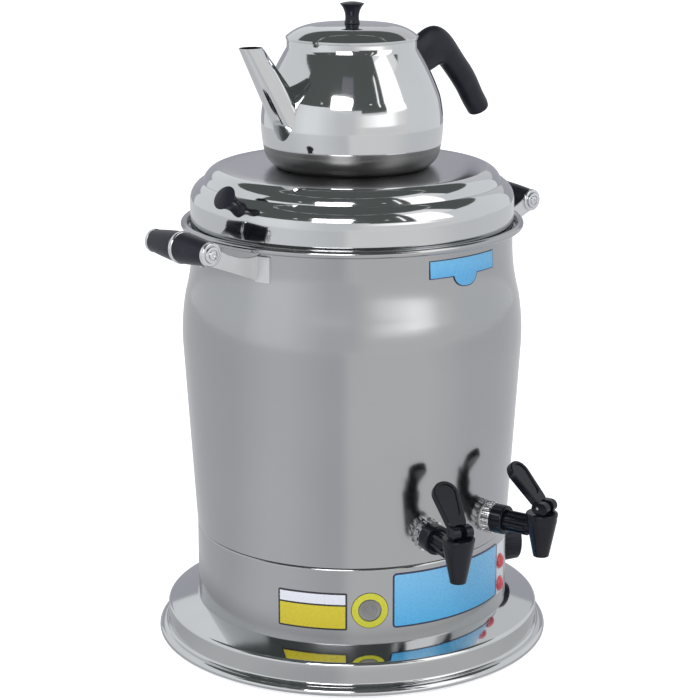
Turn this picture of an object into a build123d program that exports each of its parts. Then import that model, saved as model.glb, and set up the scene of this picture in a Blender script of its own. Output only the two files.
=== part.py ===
from build123d import *
from math import asin, atan2, cos, hypot, radians, sin, sqrt
import os

# Electric tea maker: a spun steel urn on a pedestal, with two lever taps and a teapot on its lid.
# Millimetres and degrees. The origin is on the urn's axis at floor level and +Z is up. The taps
# face -Y, the side handles stand at -X and +X, the spout points to -X. Angles round the urn are
# counted from the front, towards +X.

# Sheet metal, fits and overruns
sheet = 1.0
seat_gap = 0.3
running_gap = 0.05
cut_over = 6.0

# Pedestal
band_r = 160.0
base_overhang = 41.5
base_h = 40.0
hem_r = 5.5
hem_flat = 0.5
hem_lip = 9.5
apron_drop = 7.0
apron_bend_r = 4.0
apron_foot_bend_r = 3.0
ledge_flat_w = 12.0

# Bottom cover
cover_screw_count = 6
cover_screw_r = 2.0
cover_head_r = 4.0
cover_head_h = 2.5
cover_lap = 9.0
vent_count = 16
vent_r = 4.0
vent_ring_share = 0.6

# Lower band and what it carries
band_h = 78.5
band_edge_r = 3.0
band_flange_w = 10.0
seam_gap = 0.5
lamp_angle = 28.2
lamp_place_share = 0.473
lamp_pitch = 24.2
lamp_r = 8.0
lamp_rim_t = 1.2
lamp_dome_h = 4.0
lamp_body_r = 5.0
lamp_body_len = 24.0
buzzer_angle = -34.8
buzzer_place_share = 0.452
buzzer_r = 10.5
buzzer_face_t = 1.5
buzzer_body_r = 9.0
buzzer_body_len = 12.0

# Thermostat and its knob
knob_angle = 67.0
knob_place_share = 0.455
knob_r = 25.0
knob_draft = 1.5
knob_h = 21.0
knob_wall = 3.5
knob_hub_r = 7.0
knob_stand = 1.0
knob_flutes = 24
knob_flute_r = 1.3
pointer_w = 3.0
pointer_depth = 1.2
shaft_r = 3.0
shaft_grip = 12.0
bushing_r = 5.0
bushing_nut_r = 8.0
bushing_nut_t = 3.0
thermostat_w = 40.0
thermostat_t = 24.0
thermostat_shaft_depth = 10.0

# Cable gland at the back
gland_place_share = 0.351
gland_bore_r = 4.0
gland_thread_r = 8.0
gland_flange_r = 12.0
gland_flange_t = 8.0
gland_nose_r = 7.5
gland_nose_len = 10.0
gland_inside_len = 12.0
gland_nut_r = 11.5
gland_nut_t = 5.0

# Terminal block on the bottom cover
block_l = 36.0
block_w = 18.0
block_h = 20.0
block_rib_w = 2.0
block_ways = 3
block_place_share = 0.72

# Tank
bulge_rise = 11.6
cone_h = 190.0
shoulder_h = 80.0
shoulder_mid_shares = (0.56, 0.77)
neck_set = 1.0
neck_h = 38.9
rim_reach = 10.6
rim_roll_r = 3.6
floor_flange_h = 8.0
floor_bend_r = 3.0

# Heating element and dry-boil cut-out
element_r = 4.0
element_ring_r = 90.0
element_lift = 24.0
element_bend_r = 14.0
element_open_angle = 14.0
element_leg_out = 20.0
element_nut_r = 9.0
element_nut_t = 5.0
cutout_r = 12.0
cutout_h = 9.0
cutout_blade_w = 6.0
cutout_blade_t = 0.8
cutout_blade_h = 8.0
cutout_blade_gap = 10.0

# Taps
tap_angle = 14.5
tap_rise = 30.5
shank_r = 9.5
shank_bore_r = 5.5
shank_in = 18.0
washer_t = 1.6
inner_washer_t = 4.0
washer_r = 13.5
inner_nut_r = 16.0
inner_nut_t = 7.0
tap_nut_r = 16.0
tap_nut_len = 9.0
tap_nut_flutes = 14
tap_nut_flute_r = 2.0
collar_r = 14.5
collar_len = 13.7
collar_edge_r = 2.0
arm_r = 9.5
arm_len = 39.0
arm_ribs = 8
arm_rib_w = 2.4
arm_rib_h = 1.4
barrel_r = 15.2
barrel_tip_r = 7.8
barrel_drop = 28.7
barrel_rise = 12.0
barrel_head_h = 4.0
chamber_r = 9.5
outlet_r = 5.6
seat_drop = 10.0
bonnet_r = 15.8
bonnet_t = 4.0
bonnet_plug_h = 6.0
bonnet_edge_r = 1.5
stem_r = 3.0
stem_in_cup = 6.0
eye_w = 6.0
eye_l = 7.0
eye_rise = 4.6
eye_drop = 4.2
cup_r = 8.2
cup_h = 9.0
cup_lip_t = 2.5
seat_clear = 0.05
pin_r = 1.6
pin_len = 19.0
cam_r = 6.0
cam_throw = 5.2
cam_gap = 0.3
lever_w = 21.0
lever_fork_w = 6.6
lever_lean = 46.0
lever_len = 52.0
lever_tip_r = 13.0
lever_neck_r = 10.0
lever_front_t = 4.5
lever_back_t = 3.5
lever_edge_r = 1.6
lever_dish_w = 3.5
lever_dish_foot = 19.0
lever_dish_depth = 1.4

# Side handles
grip_out = 50.5
grip_lift = 4.0
grip_half = 41.5
grip_mid_r = 15.0
grip_belly_r = 13.4
grip_end_r = 11.0
ring_w = 5.0
ring_r = 15.7
rod_r = 3.0
strap_t = 2.0
strap_eye_r = 11.5
strap_waist_share = 0.62
strap_waist_h = 16.0
strap_foot_w = 15.0
strap_foot_top = 4.0
strap_foot_h = 25.0
cap_r = 11.3
cap_rim_t = 2.5
cap_dome_r = 8.5
cap_dome_h = 3.0
rod_in_cap = 4.0

# Urn lid
lid_overhang = 1.0
lid_wall_h = 28.0
lid_skirt_h = 13.0
lid_shoulder_w = 12.0
lid_shoulder_h = 17.0
lid_groove_w = 1.2
lid_tier_w = 15.0
lid_tier_h = 14.0
lid_seat_shares = (0.78, 0.5)
lid_knob_turn = 7.0

# Trumpet knobs of the urn lid and of the teapot lid
trumpet_foot_r = 7.6
trumpet_edge_h = 1.0
trumpet_waist_r = 6.8
trumpet_flare_r = 12.2
lid_knob_len = 26.0
pot_knob_len = 21.6
trumpet_cap_h = 2.0
trumpet_waist_share = 0.35
screw_r = 2.0
screw_grip = 10.0
screw_head_r = 4.0
screw_head_h = 2.4

# Teapot
pot_r = 90.5
pot_wall = 0.8
pot_foot_set = 16.3
pot_base_h = 19.0
pot_base_set = 2.5
pot_base_t = 2.5
pot_base_wall = 1.2
foot_curve_shares = (0.62, 0.34)
pot_belly_z = 41.0
pot_shoulder_set = 3.5
pot_shoulder_z = 71.0
pot_neck_set = 26.0
pot_neck_z = 117.5
pot_shoulder_bulge = 1.6
pot_neck_h = 8.0
spout_root_x = 84.0
spout_root_z = 59.0
spout_lean = 56.7
spout_root_r = 17.6
spout_tip_r = 10.2
spout_tip_z = 125.7
handle_w = 22.0
handle_depth = 28.0
handle_reach = 96.0
handle_top = 132.0
handle_end_r = 3.5
tongue_w = 10.0
tongue_h = 16.0
tongue_z = 99.0
tongue_out = 40.0
tongue_gap = 0.1
pot_lid_over = 1.0
pot_lid_rim_t = 2.6
pot_lid_skirt_h = 10.0
pot_lid_dome_h = 12.0
pot_dome_shares = (0.85, 0.55, 0.62, 0.92)

# Heights and radii that follow from the sizes above
base_r = band_r + base_overhang
apron_r = base_r - hem_lip
band_top = base_h + band_h
lamp_z = base_h + band_h * lamp_place_share
buzzer_z = base_h + band_h * buzzer_place_share
knob_z = base_h + band_h * knob_place_share
gland_z = base_h + band_h * gland_place_share
body_foot_z = band_top + seam_gap
bulge_r = band_r + bulge_rise
bulge_z = body_foot_z + cone_h
neck_z = bulge_z + shoulder_h
neck_r = band_r + neck_set
rim_z = neck_z + neck_h
rim_r = neck_r + rim_reach
wall_run = sheet / cos(atan2(bulge_rise, cone_h))
floor_z = band_top
floor_top = floor_z + sheet
cover_z = base_h - sheet
lid_wall_r = neck_r + lid_overhang
lid_shoulder_z = rim_z + lid_wall_h
lid_step_r = lid_wall_r - lid_shoulder_w
lid_step_z = lid_shoulder_z + lid_shoulder_h
lid_top_r = lid_step_r - lid_groove_w - lid_tier_w
lid_top_z = lid_step_z + lid_tier_h
pot_z = lid_top_z
pot_foot_r = pot_r - pot_foot_set
pot_base_r = pot_r - pot_base_set
pot_shoulder_r = pot_r - pot_shoulder_set
pot_neck_r = pot_r - pot_neck_set
tap_z = body_foot_z + tap_rise
tap_wall_r = band_r + bulge_rise * (tap_z - body_foot_z) / cone_h
nut_in_r = tap_wall_r + washer_t
nut_out_r = nut_in_r + tap_nut_len
collar_out_r = nut_out_r + collar_len
barrel_axis_r = collar_out_r + arm_len
barrel_foot = tap_z - barrel_drop
barrel_top = tap_z + barrel_rise
seat_z = tap_z - seat_drop
bonnet_top = barrel_top + bonnet_t
pin_z = bonnet_top + cam_gap + cam_r
grip_axis_r = neck_r + grip_out
grip_z = rim_z + grip_lift


def around(angle):
    """Unit vectors at an angle round the urn: outwards, and along the wall to the right."""
    a = radians(angle)
    return Vector(sin(a), -cos(a), 0), Vector(cos(a), sin(a), 0)


def outward_plane(angle, radius, height):
    """Plane whose normal points away from the urn's axis, with its y direction upright."""
    out, along = around(angle)
    return Plane(origin=out * radius + Vector(0, 0, height), x_dir=along, z_dir=out)


def section_plane(angle):
    """Upright plane through the urn's axis: x is the radius at this angle, y is the height."""
    out, along = around(angle)
    return Plane(origin=(0, 0, 0), x_dir=out, z_dir=-along)


def flat_behind(radius, half_width):
    """Radius at which a flat face of this half width clears the inside of a round wall."""
    return sqrt((radius - sheet) ** 2 - half_width**2) - seat_gap


def dome(foot, radius, rise, level=0):
    """Half outline of a spherical dome about the line y = level, rising along x from its foot."""
    ball_r = (radius**2 + rise**2) / (2 * rise)
    half_turn = asin(radius / ball_r) / 2
    ThreePointArc(
        (foot, level + radius),
        (foot + rise - ball_r + ball_r * cos(half_turn), level + ball_r * sin(half_turn)),
        (foot + rise, level),
    )


os.makedirs("parts", exist_ok=True)


def keep(builder, name):
    """Labels a finished piece and writes it to its own file."""
    builder.part.label = name
    export_step(builder.part, f"parts/{name}.step")


# Pedestal: a spun plate with an upright apron and a rolled hem, flattened where it stands
hem_top = 2 * hem_r - hem_flat
cover_screw_ring = band_r - ledge_flat_w + cover_lap / 2
with BuildPart() as base_plate:
    with BuildSketch(Plane.XZ):
        with BuildLine():
            FilletPolyline(
                (base_r - hem_r, hem_top),
                (apron_r, hem_top),
                (apron_r, base_h - apron_drop),
                (band_r + sheet, base_h),
                (band_r - ledge_flat_w, base_h),
                radius=(apron_foot_bend_r, apron_bend_r, apron_bend_r / 2),
            )
            offset(amount=sheet, side=Side.LEFT)
        make_face()
        with Locations((base_r - hem_r, hem_r - hem_flat)):
            Circle(hem_r)
        with Locations((base_r - hem_r, 0)):
            Rectangle(4 * hem_r, 2 * hem_r, align=(Align.CENTER, Align.MAX), mode=Mode.SUBTRACT)
    revolve(axis=Axis.Z)
    with BuildSketch(Plane.XY.offset(base_h - sheet / 2)):
        with PolarLocations(cover_screw_ring, cover_screw_count):
            Circle(cover_screw_r + running_gap)
    extrude(amount=cut_over, both=True, mode=Mode.SUBTRACT)
keep(base_plate, "base_plate")

# Bottom cover: a vented disc under the electrics, screwed to the pedestal from below
with BuildPart() as bottom_cover:
    with BuildSketch(Plane.XY.offset(cover_z - sheet)):
        Circle(band_r - ledge_flat_w + cover_lap)
        with PolarLocations(cover_screw_ring, cover_screw_count):
            Circle(cover_screw_r + running_gap, mode=Mode.SUBTRACT)
        with PolarLocations(band_r * vent_ring_share, vent_count):
            Circle(vent_r, mode=Mode.SUBTRACT)
    extrude(amount=sheet)
keep(bottom_cover, "bottom_cover")

with BuildPart() as bottom_cover_screws:
    with BuildSketch(Plane.XZ):
        with BuildLine():
            Polyline(
                (0, cover_z - sheet - cover_head_h),
                (cover_head_r, cover_z - sheet - cover_head_h),
                (cover_head_r, cover_z - sheet),
                (cover_screw_r, cover_z - sheet),
                (cover_screw_r, base_h + cover_head_h),
                (0, base_h + cover_head_h),
                close=True,
            )
        make_face()
    screw = revolve(axis=Axis.Z, mode=Mode.PRIVATE)
    with PolarLocations(cover_screw_ring, cover_screw_count):
        add(screw)
keep(bottom_cover_screws, "bottom_cover_screws")

# Lower band: the sleeve round the electrics, with its top edge turned in under the tank
with BuildPart() as lower_band:
    with BuildSketch(Plane.XZ):
        with BuildLine():
            FilletPolyline(
                (band_r, base_h),
                (band_r, band_top),
                (band_r - band_flange_w, band_top),
                radius=band_edge_r,
            )
            offset(amount=sheet, side=Side.LEFT)
        make_face()
    revolve(axis=Axis.Z)
    for angle, height, radius in (
        (lamp_angle, lamp_z + lamp_pitch / 2, lamp_body_r),
        (lamp_angle, lamp_z - lamp_pitch / 2, lamp_body_r),
        (buzzer_angle, buzzer_z, buzzer_body_r),
        (knob_angle, knob_z, bushing_r),
        (180, gland_z, gland_thread_r),
    ):
        with BuildSketch(outward_plane(angle, band_r, height)):
            Circle(radius + running_gap)
        extrude(amount=cut_over, both=True, mode=Mode.SUBTRACT)
keep(lower_band, "lower_band")

# Indicator lamps: a domed lens with its holder through the band
for name, height in (
    ("indicator_lamp_upper", lamp_z + lamp_pitch / 2),
    ("indicator_lamp_lower", lamp_z - lamp_pitch / 2),
):
    lamp_plane = section_plane(lamp_angle)
    lamp_axis = Axis(lamp_plane.from_local_coords((0, height, 0)), lamp_plane.x_dir)
    with BuildPart() as lamp:
        with BuildSketch(lamp_plane):
            with BuildLine():
                Polyline(
                    (band_r + lamp_rim_t + lamp_dome_h, height),
                    (band_r - lamp_body_len, height),
                    (band_r - lamp_body_len, height + lamp_body_r),
                    (band_r, height + lamp_body_r),
                    (band_r, height + lamp_r),
                    (band_r + lamp_rim_t, height + lamp_r),
                )
                dome(band_r + lamp_rim_t, lamp_r, lamp_dome_h, height)
            make_face()
        revolve(axis=lamp_axis)
    keep(lamp, name)

# Buzzer: a round sounder pushed through the band from outside
with BuildPart() as buzzer:
    with BuildSketch(outward_plane(buzzer_angle, band_r - buzzer_body_len, buzzer_z)):
        Circle(buzzer_body_r)
    extrude(amount=buzzer_body_len)
    with BuildSketch(outward_plane(buzzer_angle, band_r, buzzer_z)):
        Circle(buzzer_r)
    extrude(amount=buzzer_face_t)
    chamfer(buzzer.faces().sort_by(Axis(buzzer.part.center(), around(buzzer_angle)[0]))[-1].edges(),
            length=buzzer_face_t / 2)
keep(buzzer, "buzzer")

# Thermostat: a box behind the band, held by a nut on its bushing, with a shaft for the knob
thermostat_face = flat_behind(band_r, thermostat_w / 2)
shaft_foot = thermostat_face - thermostat_shaft_depth
knob_foot = band_r + knob_stand
with BuildPart() as thermostat:
    with BuildSketch(outward_plane(knob_angle, thermostat_face - thermostat_t, knob_z)):
        RectangleRounded(thermostat_w, thermostat_w, thermostat_w / 10)
    extrude(amount=thermostat_t)
    with BuildSketch(outward_plane(knob_angle, thermostat_face, knob_z)):
        Circle(bushing_r)
    extrude(amount=band_r + bushing_nut_t - thermostat_face)
    with BuildSketch(outward_plane(knob_angle, shaft_foot, knob_z)):
        Circle(shaft_r + running_gap)
    extrude(amount=knob_h + band_r - shaft_foot, mode=Mode.SUBTRACT)
keep(thermostat, "thermostat")

with BuildPart() as thermostat_nut:
    with BuildSketch(outward_plane(knob_angle, band_r, knob_z)):
        RegularPolygon(bushing_nut_r, 6)
        Circle(bushing_r + running_gap, mode=Mode.SUBTRACT)
    extrude(amount=bushing_nut_t)
keep(thermostat_nut, "thermostat_nut")

with BuildPart() as thermostat_shaft:
    with BuildSketch(outward_plane(knob_angle, shaft_foot + seat_gap, knob_z)):
        Circle(shaft_r)
    extrude(amount=knob_foot + knob_wall + shaft_grip - shaft_foot - seat_gap)
keep(thermostat_shaft, "thermostat_shaft")

knob_cavity = bushing_nut_t + knob_wall - knob_stand
with BuildPart() as thermostat_knob:
    with BuildSketch(outward_plane(knob_angle, knob_foot, knob_z)):
        Circle(knob_r)
    with BuildSketch(outward_plane(knob_angle, knob_foot + knob_h, knob_z)):
        Circle(knob_r - knob_draft)
    loft()
    with BuildSketch(outward_plane(knob_angle, knob_foot, knob_z)):
        Circle(knob_r - knob_wall)
        Circle(knob_hub_r + bushing_nut_r - bushing_r, mode=Mode.SUBTRACT)
    extrude(amount=knob_h - knob_wall, mode=Mode.SUBTRACT)
    with BuildSketch(outward_plane(knob_angle, knob_foot, knob_z)):
        Circle(bushing_nut_r + seat_gap)
    extrude(amount=knob_cavity, mode=Mode.SUBTRACT)
    with BuildSketch(outward_plane(knob_angle, knob_foot, knob_z)):
        Circle(shaft_r)
    extrude(amount=knob_wall + shaft_grip, mode=Mode.SUBTRACT)
    with BuildSketch(outward_plane(knob_angle, knob_foot, knob_z)):
        with PolarLocations(knob_r, knob_flutes):
            Circle(knob_flute_r)
    extrude(amount=knob_h, mode=Mode.SUBTRACT)
    with BuildSketch(outward_plane(knob_angle, knob_foot + knob_h, knob_z)):
        with Locations((0, knob_r / 2)):
            Rectangle(pointer_w, knob_r)
    extrude(amount=-pointer_depth, mode=Mode.SUBTRACT)
keep(thermostat_knob, "thermostat_knob")

# Cable gland at the back, with its nut inside the band
gland_in = band_r - gland_inside_len
gland_out = band_r + gland_flange_t + gland_nose_len
with BuildPart() as cable_gland:
    with BuildSketch(outward_plane(180, gland_in, gland_z)):
        Circle(gland_thread_r)
    extrude(amount=gland_inside_len)
    with BuildSketch(outward_plane(180, band_r, gland_z)):
        RegularPolygon(gland_flange_r, 6)
    extrude(amount=gland_flange_t)
    with BuildSketch(outward_plane(180, band_r + gland_flange_t, gland_z)):
        Circle((gland_thread_r + gland_flange_r) / 2)
    with BuildSketch(outward_plane(180, gland_out, gland_z)):
        Circle(gland_nose_r)
    loft()
    with BuildSketch(outward_plane(180, gland_in, gland_z)):
        Circle(gland_bore_r)
    extrude(amount=gland_out - gland_in, mode=Mode.SUBTRACT)
keep(cable_gland, "cable_gland")

gland_nut_face = flat_behind(band_r, gland_nut_r)
with BuildPart() as gland_nut:
    with BuildSketch(outward_plane(180, gland_nut_face - gland_nut_t, gland_z)):
        RegularPolygon(gland_nut_r, 6)
        Circle(gland_thread_r + running_gap, mode=Mode.SUBTRACT)
    extrude(amount=gland_nut_t)
keep(gland_nut, "gland_nut")

# Terminal block on the bottom cover, near the gland
with BuildPart() as terminal_block:
    with BuildSketch(Plane.XY.offset(cover_z)):
        with Locations((0, band_r * block_place_share)):
            Rectangle(block_l, block_w)
    extrude(amount=block_h)
    with BuildSketch(Plane.XY.offset(cover_z + block_h)):
        with Locations((0, band_r * block_place_share)):
            with GridLocations(block_l / block_ways, 0, block_ways, 1):
                Rectangle(block_l / block_ways - block_rib_w, block_w / 2)
    extrude(amount=-block_h / 2, mode=Mode.SUBTRACT)
keep(terminal_block, "terminal_block")

# Tank wall: a cone that swells upwards, a drawn shoulder, a straight neck and a rolled rim
with BuildPart() as body_shell:
    with BuildSketch(Plane.XZ):
        with BuildLine():
            Line((band_r, body_foot_z), (bulge_r, bulge_z))
            ThreePointArc(
                (bulge_r, bulge_z),
                (
                    neck_r + (bulge_r - neck_r) * shoulder_mid_shares[1],
                    bulge_z + shoulder_h * shoulder_mid_shares[0],
                ),
                (neck_r, neck_z),
            )
            Polyline(
                (neck_r, neck_z), (neck_r, rim_z - sheet), (rim_r - rim_roll_r, rim_z - sheet)
            )
            offset(amount=sheet, side=Side.LEFT)
        make_face()
        with Locations((rim_r - rim_roll_r, rim_z - sheet + rim_roll_r)):
            Circle(rim_roll_r)
    revolve(axis=Axis.Z)
    for angle in (-tap_angle, tap_angle):
        with BuildSketch(outward_plane(angle, tap_wall_r, tap_z)):
            Circle(shank_r + running_gap)
        extrude(amount=cut_over, both=True, mode=Mode.SUBTRACT)
keep(body_shell, "body_shell")

# Tank floor: a pressed disc on the band's flange, with its rim turned up inside the wall
floor_r = band_r - wall_run - running_gap
leg_angles = (element_open_angle, 360 - element_open_angle)
with BuildPart() as tank_floor:
    with BuildSketch(Plane.XZ):
        with BuildLine():
            FilletPolyline(
                (0, floor_z),
                (floor_r, floor_z),
                (floor_r, floor_top + floor_flange_h),
                radius=floor_bend_r,
            )
            offset(amount=sheet, side=Side.LEFT)
        make_face()
    revolve(axis=Axis.Z)
    for angle, turn in zip(leg_angles, (-1, 1)):
        a = radians(angle)
        leg = Vector(cos(a), sin(a)) * element_ring_r
        leg = leg + Vector(-sin(a), cos(a)) * (turn * element_bend_r)
        with BuildSketch(Plane.XY.offset(floor_top)):
            with Locations((leg.X, leg.Y)):
                Circle(element_r + running_gap)
        extrude(amount=cut_over, both=True, mode=Mode.SUBTRACT)
keep(tank_floor, "tank_floor")

# Heating element: one open loop of sheathed rod above the floor, with both legs through it
loop_z = floor_top + element_lift
leg_foot_z = floor_z - element_leg_out


def loop_point(angle, along, height):
    """Point beside the loop at an angle: this far along its tangent, at a height."""
    a = radians(angle)
    flat = Vector(cos(a), sin(a)) * element_ring_r + Vector(-sin(a), cos(a)) * along
    return Vector(flat.X, flat.Y, height)


bend_in = element_bend_r * (1 - cos(radians(45)))
with BuildPart() as heating_element:
    with BuildLine() as rod_path:
        near, far = leg_angles
        Line(loop_point(near, -element_bend_r, leg_foot_z),
             loop_point(near, -element_bend_r, loop_z - element_bend_r))
        ThreePointArc(
            loop_point(near, -element_bend_r, loop_z - element_bend_r),
            loop_point(near, -element_bend_r + bend_in, loop_z - bend_in),
            loop_point(near, 0, loop_z),
        )
        ThreePointArc(
            loop_point(near, 0, loop_z), loop_point(180, 0, loop_z), loop_point(far, 0, loop_z)
        )
        ThreePointArc(
            loop_point(far, 0, loop_z),
            loop_point(far, element_bend_r - bend_in, loop_z - bend_in),
            loop_point(far, element_bend_r, loop_z - element_bend_r),
        )
        Line(loop_point(far, element_bend_r, loop_z - element_bend_r),
             loop_point(far, element_bend_r, leg_foot_z))
    with BuildSketch(Plane(origin=loop_point(near, -element_bend_r, leg_foot_z), z_dir=(0, 0, 1))):
        Circle(element_r)
    sweep(path=rod_path.line)
keep(heating_element, "heating_element")

with BuildPart() as element_nuts:
    for angle, turn in zip(leg_angles, (-1, 1)):
        foot = loop_point(angle, turn * element_bend_r, floor_z)
        with BuildSketch(Plane.XY.offset(floor_z - element_nut_t)):
            with Locations((foot.X, foot.Y)):
                RegularPolygon(element_nut_r, 6)
                Circle(element_r + running_gap, mode=Mode.SUBTRACT)
        extrude(amount=element_nut_t)
keep(element_nuts, "element_nuts")

# Dry-boil cut-out: a snap disc pressed against the middle of the tank floor
with BuildPart() as dry_boil_cutout:
    with BuildSketch(Plane.XY.offset(floor_z - cutout_h)):
        Circle(cutout_r)
    extrude(amount=cutout_h)
    with BuildSketch(Plane.XY.offset(floor_z - cutout_h)):
        with GridLocations(cutout_blade_gap, 0, 2, 1):
            Rectangle(cutout_blade_t, cutout_blade_w)
    extrude(amount=-cutout_blade_h)
keep(dry_boil_cutout, "dry_boil_cutout")

# Taps: the same nine pieces at each side of the front
for side, angle in (("left", -tap_angle), ("right", tap_angle)):
    out, along = around(angle)
    tap_section = section_plane(angle)
    barrel_plane = Plane(origin=out * barrel_axis_r, x_dir=out, z_dir=(0, 0, 1))
    barrel_axis = Axis(out * barrel_axis_r, (0, 0, 1))
    pin_point = out * barrel_axis_r + Vector(0, 0, pin_z)

    # Washers that follow the wall's cone, outside and inside
    with BuildPart() as tap_washers:
        with BuildSketch(outward_plane(angle, tap_wall_r - inner_washer_t, tap_z)):
            Circle(washer_r)
            Circle(shank_r + running_gap, mode=Mode.SUBTRACT)
        extrude(amount=inner_washer_t + washer_t)
        with BuildSketch(Plane.XZ):
            with BuildLine():
                Polyline(
                    (band_r - wall_run - running_gap, body_foot_z),
                    (band_r + running_gap, body_foot_z),
                    (bulge_r + running_gap, bulge_z),
                    (bulge_r - wall_run - running_gap, bulge_z),
                    close=True,
                )
            make_face()
        revolve(axis=Axis.Z, mode=Mode.SUBTRACT)
    keep(tap_washers, f"tap_washers_{side}")

    # Hexagonal back nut inside the tank
    with BuildPart() as tap_back_nut:
        with BuildSketch(outward_plane(angle, tap_wall_r - inner_washer_t - inner_nut_t, tap_z)):
            RegularPolygon(inner_nut_r, 6)
            Circle(shank_r + running_gap, mode=Mode.SUBTRACT)
        extrude(amount=inner_nut_t)
    keep(tap_back_nut, f"tap_back_nut_{side}")

    # Knurled chrome nut between the wall and the tap's collar
    with BuildPart() as tap_nut:
        with BuildSketch(outward_plane(angle, nut_in_r, tap_z)):
            Circle(tap_nut_r)
            with PolarLocations(tap_nut_r, tap_nut_flutes):
                Circle(tap_nut_flute_r, mode=Mode.SUBTRACT)
            Circle(shank_r + running_gap, mode=Mode.SUBTRACT)
        extrude(amount=tap_nut_len)
    keep(tap_nut, f"tap_nut_{side}")

    # Tap body: shank, collar, ribbed arm and hanging barrel, bored for the water
    shank_foot = tap_wall_r - shank_in
    with BuildPart() as tap_body:
        with BuildSketch(outward_plane(angle, shank_foot, tap_z)):
            Circle(shank_r)
        extrude(amount=nut_out_r - shank_foot)
        with BuildSketch(outward_plane(angle, nut_out_r, tap_z)):
            Circle(collar_r)
        extrude(amount=collar_len)
        fillet(tap_body.faces().sort_by(Axis((0, 0, tap_z), out))[-1].edges(), collar_edge_r)
        with BuildSketch(outward_plane(angle, collar_out_r, tap_z)):
            Circle(arm_r)
        extrude(amount=arm_len)
        with BuildSketch(outward_plane(angle, collar_out_r, tap_z)):
            with PolarLocations(arm_r, arm_ribs):
                Rectangle(2 * arm_rib_h, arm_rib_w)
        extrude(amount=arm_len - barrel_r)
        with BuildSketch(tap_section):
            with BuildLine():
                Polyline(
                    (barrel_axis_r, barrel_foot),
                    (barrel_axis_r + barrel_tip_r, barrel_foot),
                    (barrel_axis_r + barrel_r, barrel_top - barrel_head_h),
                    (barrel_axis_r + barrel_r, barrel_top),
                    (barrel_axis_r, barrel_top),
                    close=True,
                )
            make_face()
        revolve(axis=barrel_axis)
        with BuildSketch(barrel_plane.offset(seat_z)):
            Circle(chamber_r)
        extrude(amount=barrel_top - seat_z, mode=Mode.SUBTRACT)
        with BuildSketch(barrel_plane.offset(barrel_foot)):
            Circle(outlet_r)
        extrude(amount=seat_z - barrel_foot, mode=Mode.SUBTRACT)
        with BuildSketch(outward_plane(angle, shank_foot, tap_z)):
            Circle(shank_bore_r)
        extrude(amount=barrel_axis_r - shank_foot, mode=Mode.SUBTRACT)
    keep(tap_body, f"tap_body_{side}")

    # Bonnet: closes the chamber and guides the stem
    with BuildPart() as tap_bonnet:
        with BuildSketch(barrel_plane.offset(barrel_top)):
            Circle(bonnet_r)
        extrude(amount=bonnet_t)
        fillet(tap_bonnet.faces().sort_by(Axis.Z)[-1].edges(), bonnet_edge_r)
        with BuildSketch(barrel_plane.offset(barrel_top)):
            Circle(chamber_r - running_gap)
        extrude(amount=-bonnet_plug_h)
        with BuildSketch(barrel_plane.offset(barrel_top - bonnet_plug_h)):
            Circle(stem_r + running_gap)
        extrude(amount=bonnet_plug_h + bonnet_t, mode=Mode.SUBTRACT)
    keep(tap_bonnet, f"tap_bonnet_{side}")

    # Stem: a round rod with a flat eye for the lever's pin
    cup_foot = seat_z + seat_clear
    stem_foot = cup_foot + cup_h - stem_in_cup
    with BuildPart() as tap_stem:
        with BuildSketch(barrel_plane.offset(stem_foot)):
            Circle(stem_r)
        extrude(amount=pin_z - stem_foot)
        with BuildSketch(barrel_plane.offset(pin_z - eye_drop)):
            Rectangle(eye_l, eye_w)
        extrude(amount=eye_drop + eye_rise)
        with BuildSketch(Plane(origin=pin_point, x_dir=out, z_dir=-along)):
            Circle(pin_r + running_gap)
        extrude(amount=eye_w, both=True, mode=Mode.SUBTRACT)
    keep(tap_stem, f"tap_stem_{side}")

    # Silicone seat cup on the stem's foot: closes the outlet when the stem is down
    with BuildPart() as tap_seat_cup:
        with BuildSketch(tap_section):
            with BuildLine():
                Polyline(
                    (barrel_axis_r, cup_foot),
                    (barrel_axis_r + cup_r, cup_foot),
                    (barrel_axis_r + cup_r, cup_foot + cup_lip_t),
                    (barrel_axis_r + (cup_r + stem_r) / 2, cup_foot + cup_h),
                    (barrel_axis_r + stem_r, cup_foot + cup_h),
                    (barrel_axis_r + stem_r, stem_foot),
                    (barrel_axis_r, stem_foot),
                    close=True,
                )
            make_face()
        revolve(axis=barrel_axis)
    keep(tap_seat_cup, f"tap_seat_cup_{side}")

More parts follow.
